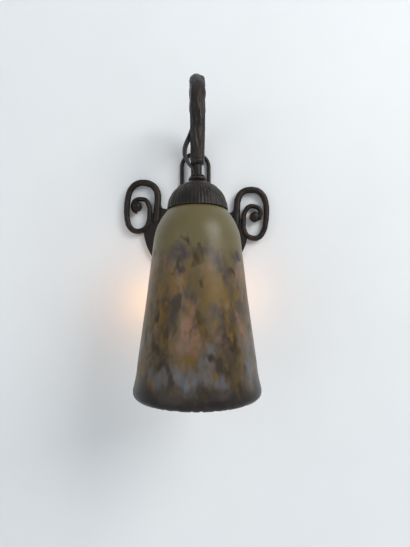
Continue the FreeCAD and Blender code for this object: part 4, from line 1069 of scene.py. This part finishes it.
@dataclass
class Room:
    """The wall behind the sconce, the floor, the lights and the camera at the photograph's viewpoint."""

    wall_colour: Colour = (0.76, 0.78, 0.79)
    floor_z: float = -0.75
    half_width: float = 2.5
    wall_y: float = 0.4 * MM
    wall_top: float = 1.6
    floor_run: Ring = (-3.0, 2.5)
    daylight: tuple = (0.86, 0.9, 0.95, 1.0)
    daylight_strength: float = 0.55
    focal_px: float = 385.0
    long_side_px: float = 547.0
    sensor: float = 36.0
    eye: tuple = (-9.5 * MM, -583.2 * MM, -80.1 * MM)
    pitch: float = 3.49
    yaw: float = 2.4

    def wall_finish(self, name: str, one_sided: bool) -> Material:
        """Returns pale plaster, clear from behind where it is one-sided."""
        paint = Paint(name)
        patch = paint.group(PATCHES, Scale=6.0, Detail=8.0, Low=0.3, High=0.7)
        paint.link(paint.mix(patch.outputs["Mask"], self.wall_colour,
                             tuple(0.97 * part for part in self.wall_colour)), "Base Color")
        paint.set(Roughness=0.9, Specular_IOR_Level=0.2)
        paint.bump(patch.outputs["Field"], 0.5 * MM, 0.4)
        if one_sided:
            clear = paint.node("BsdfTransparent")
            back = paint.node("NewGeometry")
            shadow = paint.node("LightPath")
            see_through = paint.maths("MAXIMUM", back.outputs["Backfacing"], shadow.outputs["Is Shadow Ray"])
            both = paint.node("MixShader", {0: see_through, 1: paint.shader.outputs[0],
                                            2: clear.outputs[0]})
            paint.tree.links.new(both.outputs[0], paint.tree.nodes["Material Output"].inputs["Surface"])
        return paint.material

    def panel(self, name: str, corners: Sequence[tuple[float, float, float]], material: Material) -> None:
        """Adds one flat panel of the room."""
        form = bmesh.new()
        form.faces.new([form.verts.new(corner) for corner in corners])
        mesh = bpy.data.meshes.new(name)
        form.to_mesh(mesh)
        form.free()
        mesh.materials.append(material)
        placed(name, mesh)

    def lamp(self, lamp: Lamp) -> None:
        """Adds one light that looks at a point."""
        data = bpy.data.lights.new(lamp.name, lamp.kind)
        data.energy = lamp.energy
        data.color = lamp.colour
        if lamp.kind == "AREA":
            data.size = lamp.size
        else:
            data.shadow_soft_size = lamp.size
        item = placed(lamp.name, data)
        item.location = lamp.place
        way = Vector(lamp.aim) - Vector(lamp.place)
        item.rotation_euler = way.to_track_quat("-Z", "Y").to_euler()

    def build(self) -> None:
        """Builds the wall, floor, lights and camera."""
        across, behind = self.half_width, self.wall_y
        self.panel("wall", [(-across, behind, self.floor_z), (across, behind, self.floor_z),
                            (across, behind, self.wall_top), (-across, behind, self.wall_top)],
                   self.wall_finish("pale_plaster", True))
        near, far = self.floor_run
        self.panel("floor", [(-across, near, self.floor_z), (across, near, self.floor_z),
                             (across, far, self.floor_z), (-across, far, self.floor_z)],
                   self.wall_finish("pale_floor", False))
        for lamp in LAMPS:
            self.lamp(lamp)
        world = bpy.data.worlds.new("room_light")
        world.use_nodes = True
        world.node_tree.nodes["Background"].inputs["Color"].default_value = self.daylight
        world.node_tree.nodes["Background"].inputs["Strength"].default_value = self.daylight_strength
        bpy.context.scene.world = world
        bpy.context.scene.view_settings.view_transform = "Standard"
        lens = bpy.data.cameras.new("camera")
        lens.sensor_width = self.sensor
        lens.lens = self.focal_px / self.long_side_px * self.sensor
        lens.clip_start = 0.01
        camera = placed("camera", lens)
        camera.location = self.eye
        camera.rotation_euler = (math.radians(90 + self.pitch), 0.0, math.radians(-self.yaw))
        bpy.context.scene.camera = camera


def dress_nodes(names: Sequence[str], material: Material) -> None:
    """Gives carried-over CAD nodes their finish."""
    for name in names:
        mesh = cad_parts[name].data
        mesh.materials.clear()
        mesh.materials.append(material)


def main() -> None:
    """Builds the room and every piece."""
    logging.basicConfig(level=logging.INFO)
    Room().build()
    iron = IronFinish("blackened_iron").build()
    finishes = {metal: metal.value.build() for metal in Metal}
    Flex().build(finishes[Metal.FLEX])
    Scroll("scroll_right", side=1, ball_radius=8.0 * MM, ball_in=9.0 * MM, ball_up=-4.0 * MM).build(iron)
    Scroll("scroll_left", side=-1, ball_radius=7.7 * MM, ball_in=6.0 * MM, ball_up=0.3 * MM).build(iron)
    HangingLoop().build(iron)
    CrookArm().build(IronFinish("bark_iron", mark_scale=260.0).build())
    ShadeCap().build(iron)
    GlassBell().build(GlassFinish().build())
    stack = TurnedStack()
    stack.collar(iron)
    stack.threads(iron)
    Bulb().build(finishes[Metal.FROSTED], finishes[Metal.BASE])
    # Plate and cord keepers: the blackened iron with darker colours, painted shade so that the flat plate,
    # catching more light than the round bars, looks as dark as they do.
    plate = IronFinish("plate_iron_shaded", dark=(0.008, 0.0072, 0.0068), bloom=(0.018, 0.014, 0.011),
                       rubbed=(0.03, 0.026, 0.022), rough_low=0.55, rough_high=0.8)
    dress_nodes(["wall_plate", "cord_keepers"], plate.build())
    for names, metal in ((["arm_screws"], Metal.STEEL), (["cord_grommet", "lamp_leads"], Metal.RUBBER),
                         (["seat_washer"], Metal.FELT),
                         (["holder_cap", "holder_skirt", "shade_ring", "screw_shell", "centre_contact"],
                          Metal.BRASS), (["holder_core"], Metal.PORCELAIN),
                         (["bulb_insulator"], Metal.BLACK_GLAZE), (["bulb_contact"], Metal.SOLDER),
                         (["filament_stem"], Metal.CLEAR), (["filament"], Metal.TUNGSTEN)):
        dress_nodes(names, finishes[metal])


if __name__ == "__main__":
    main()
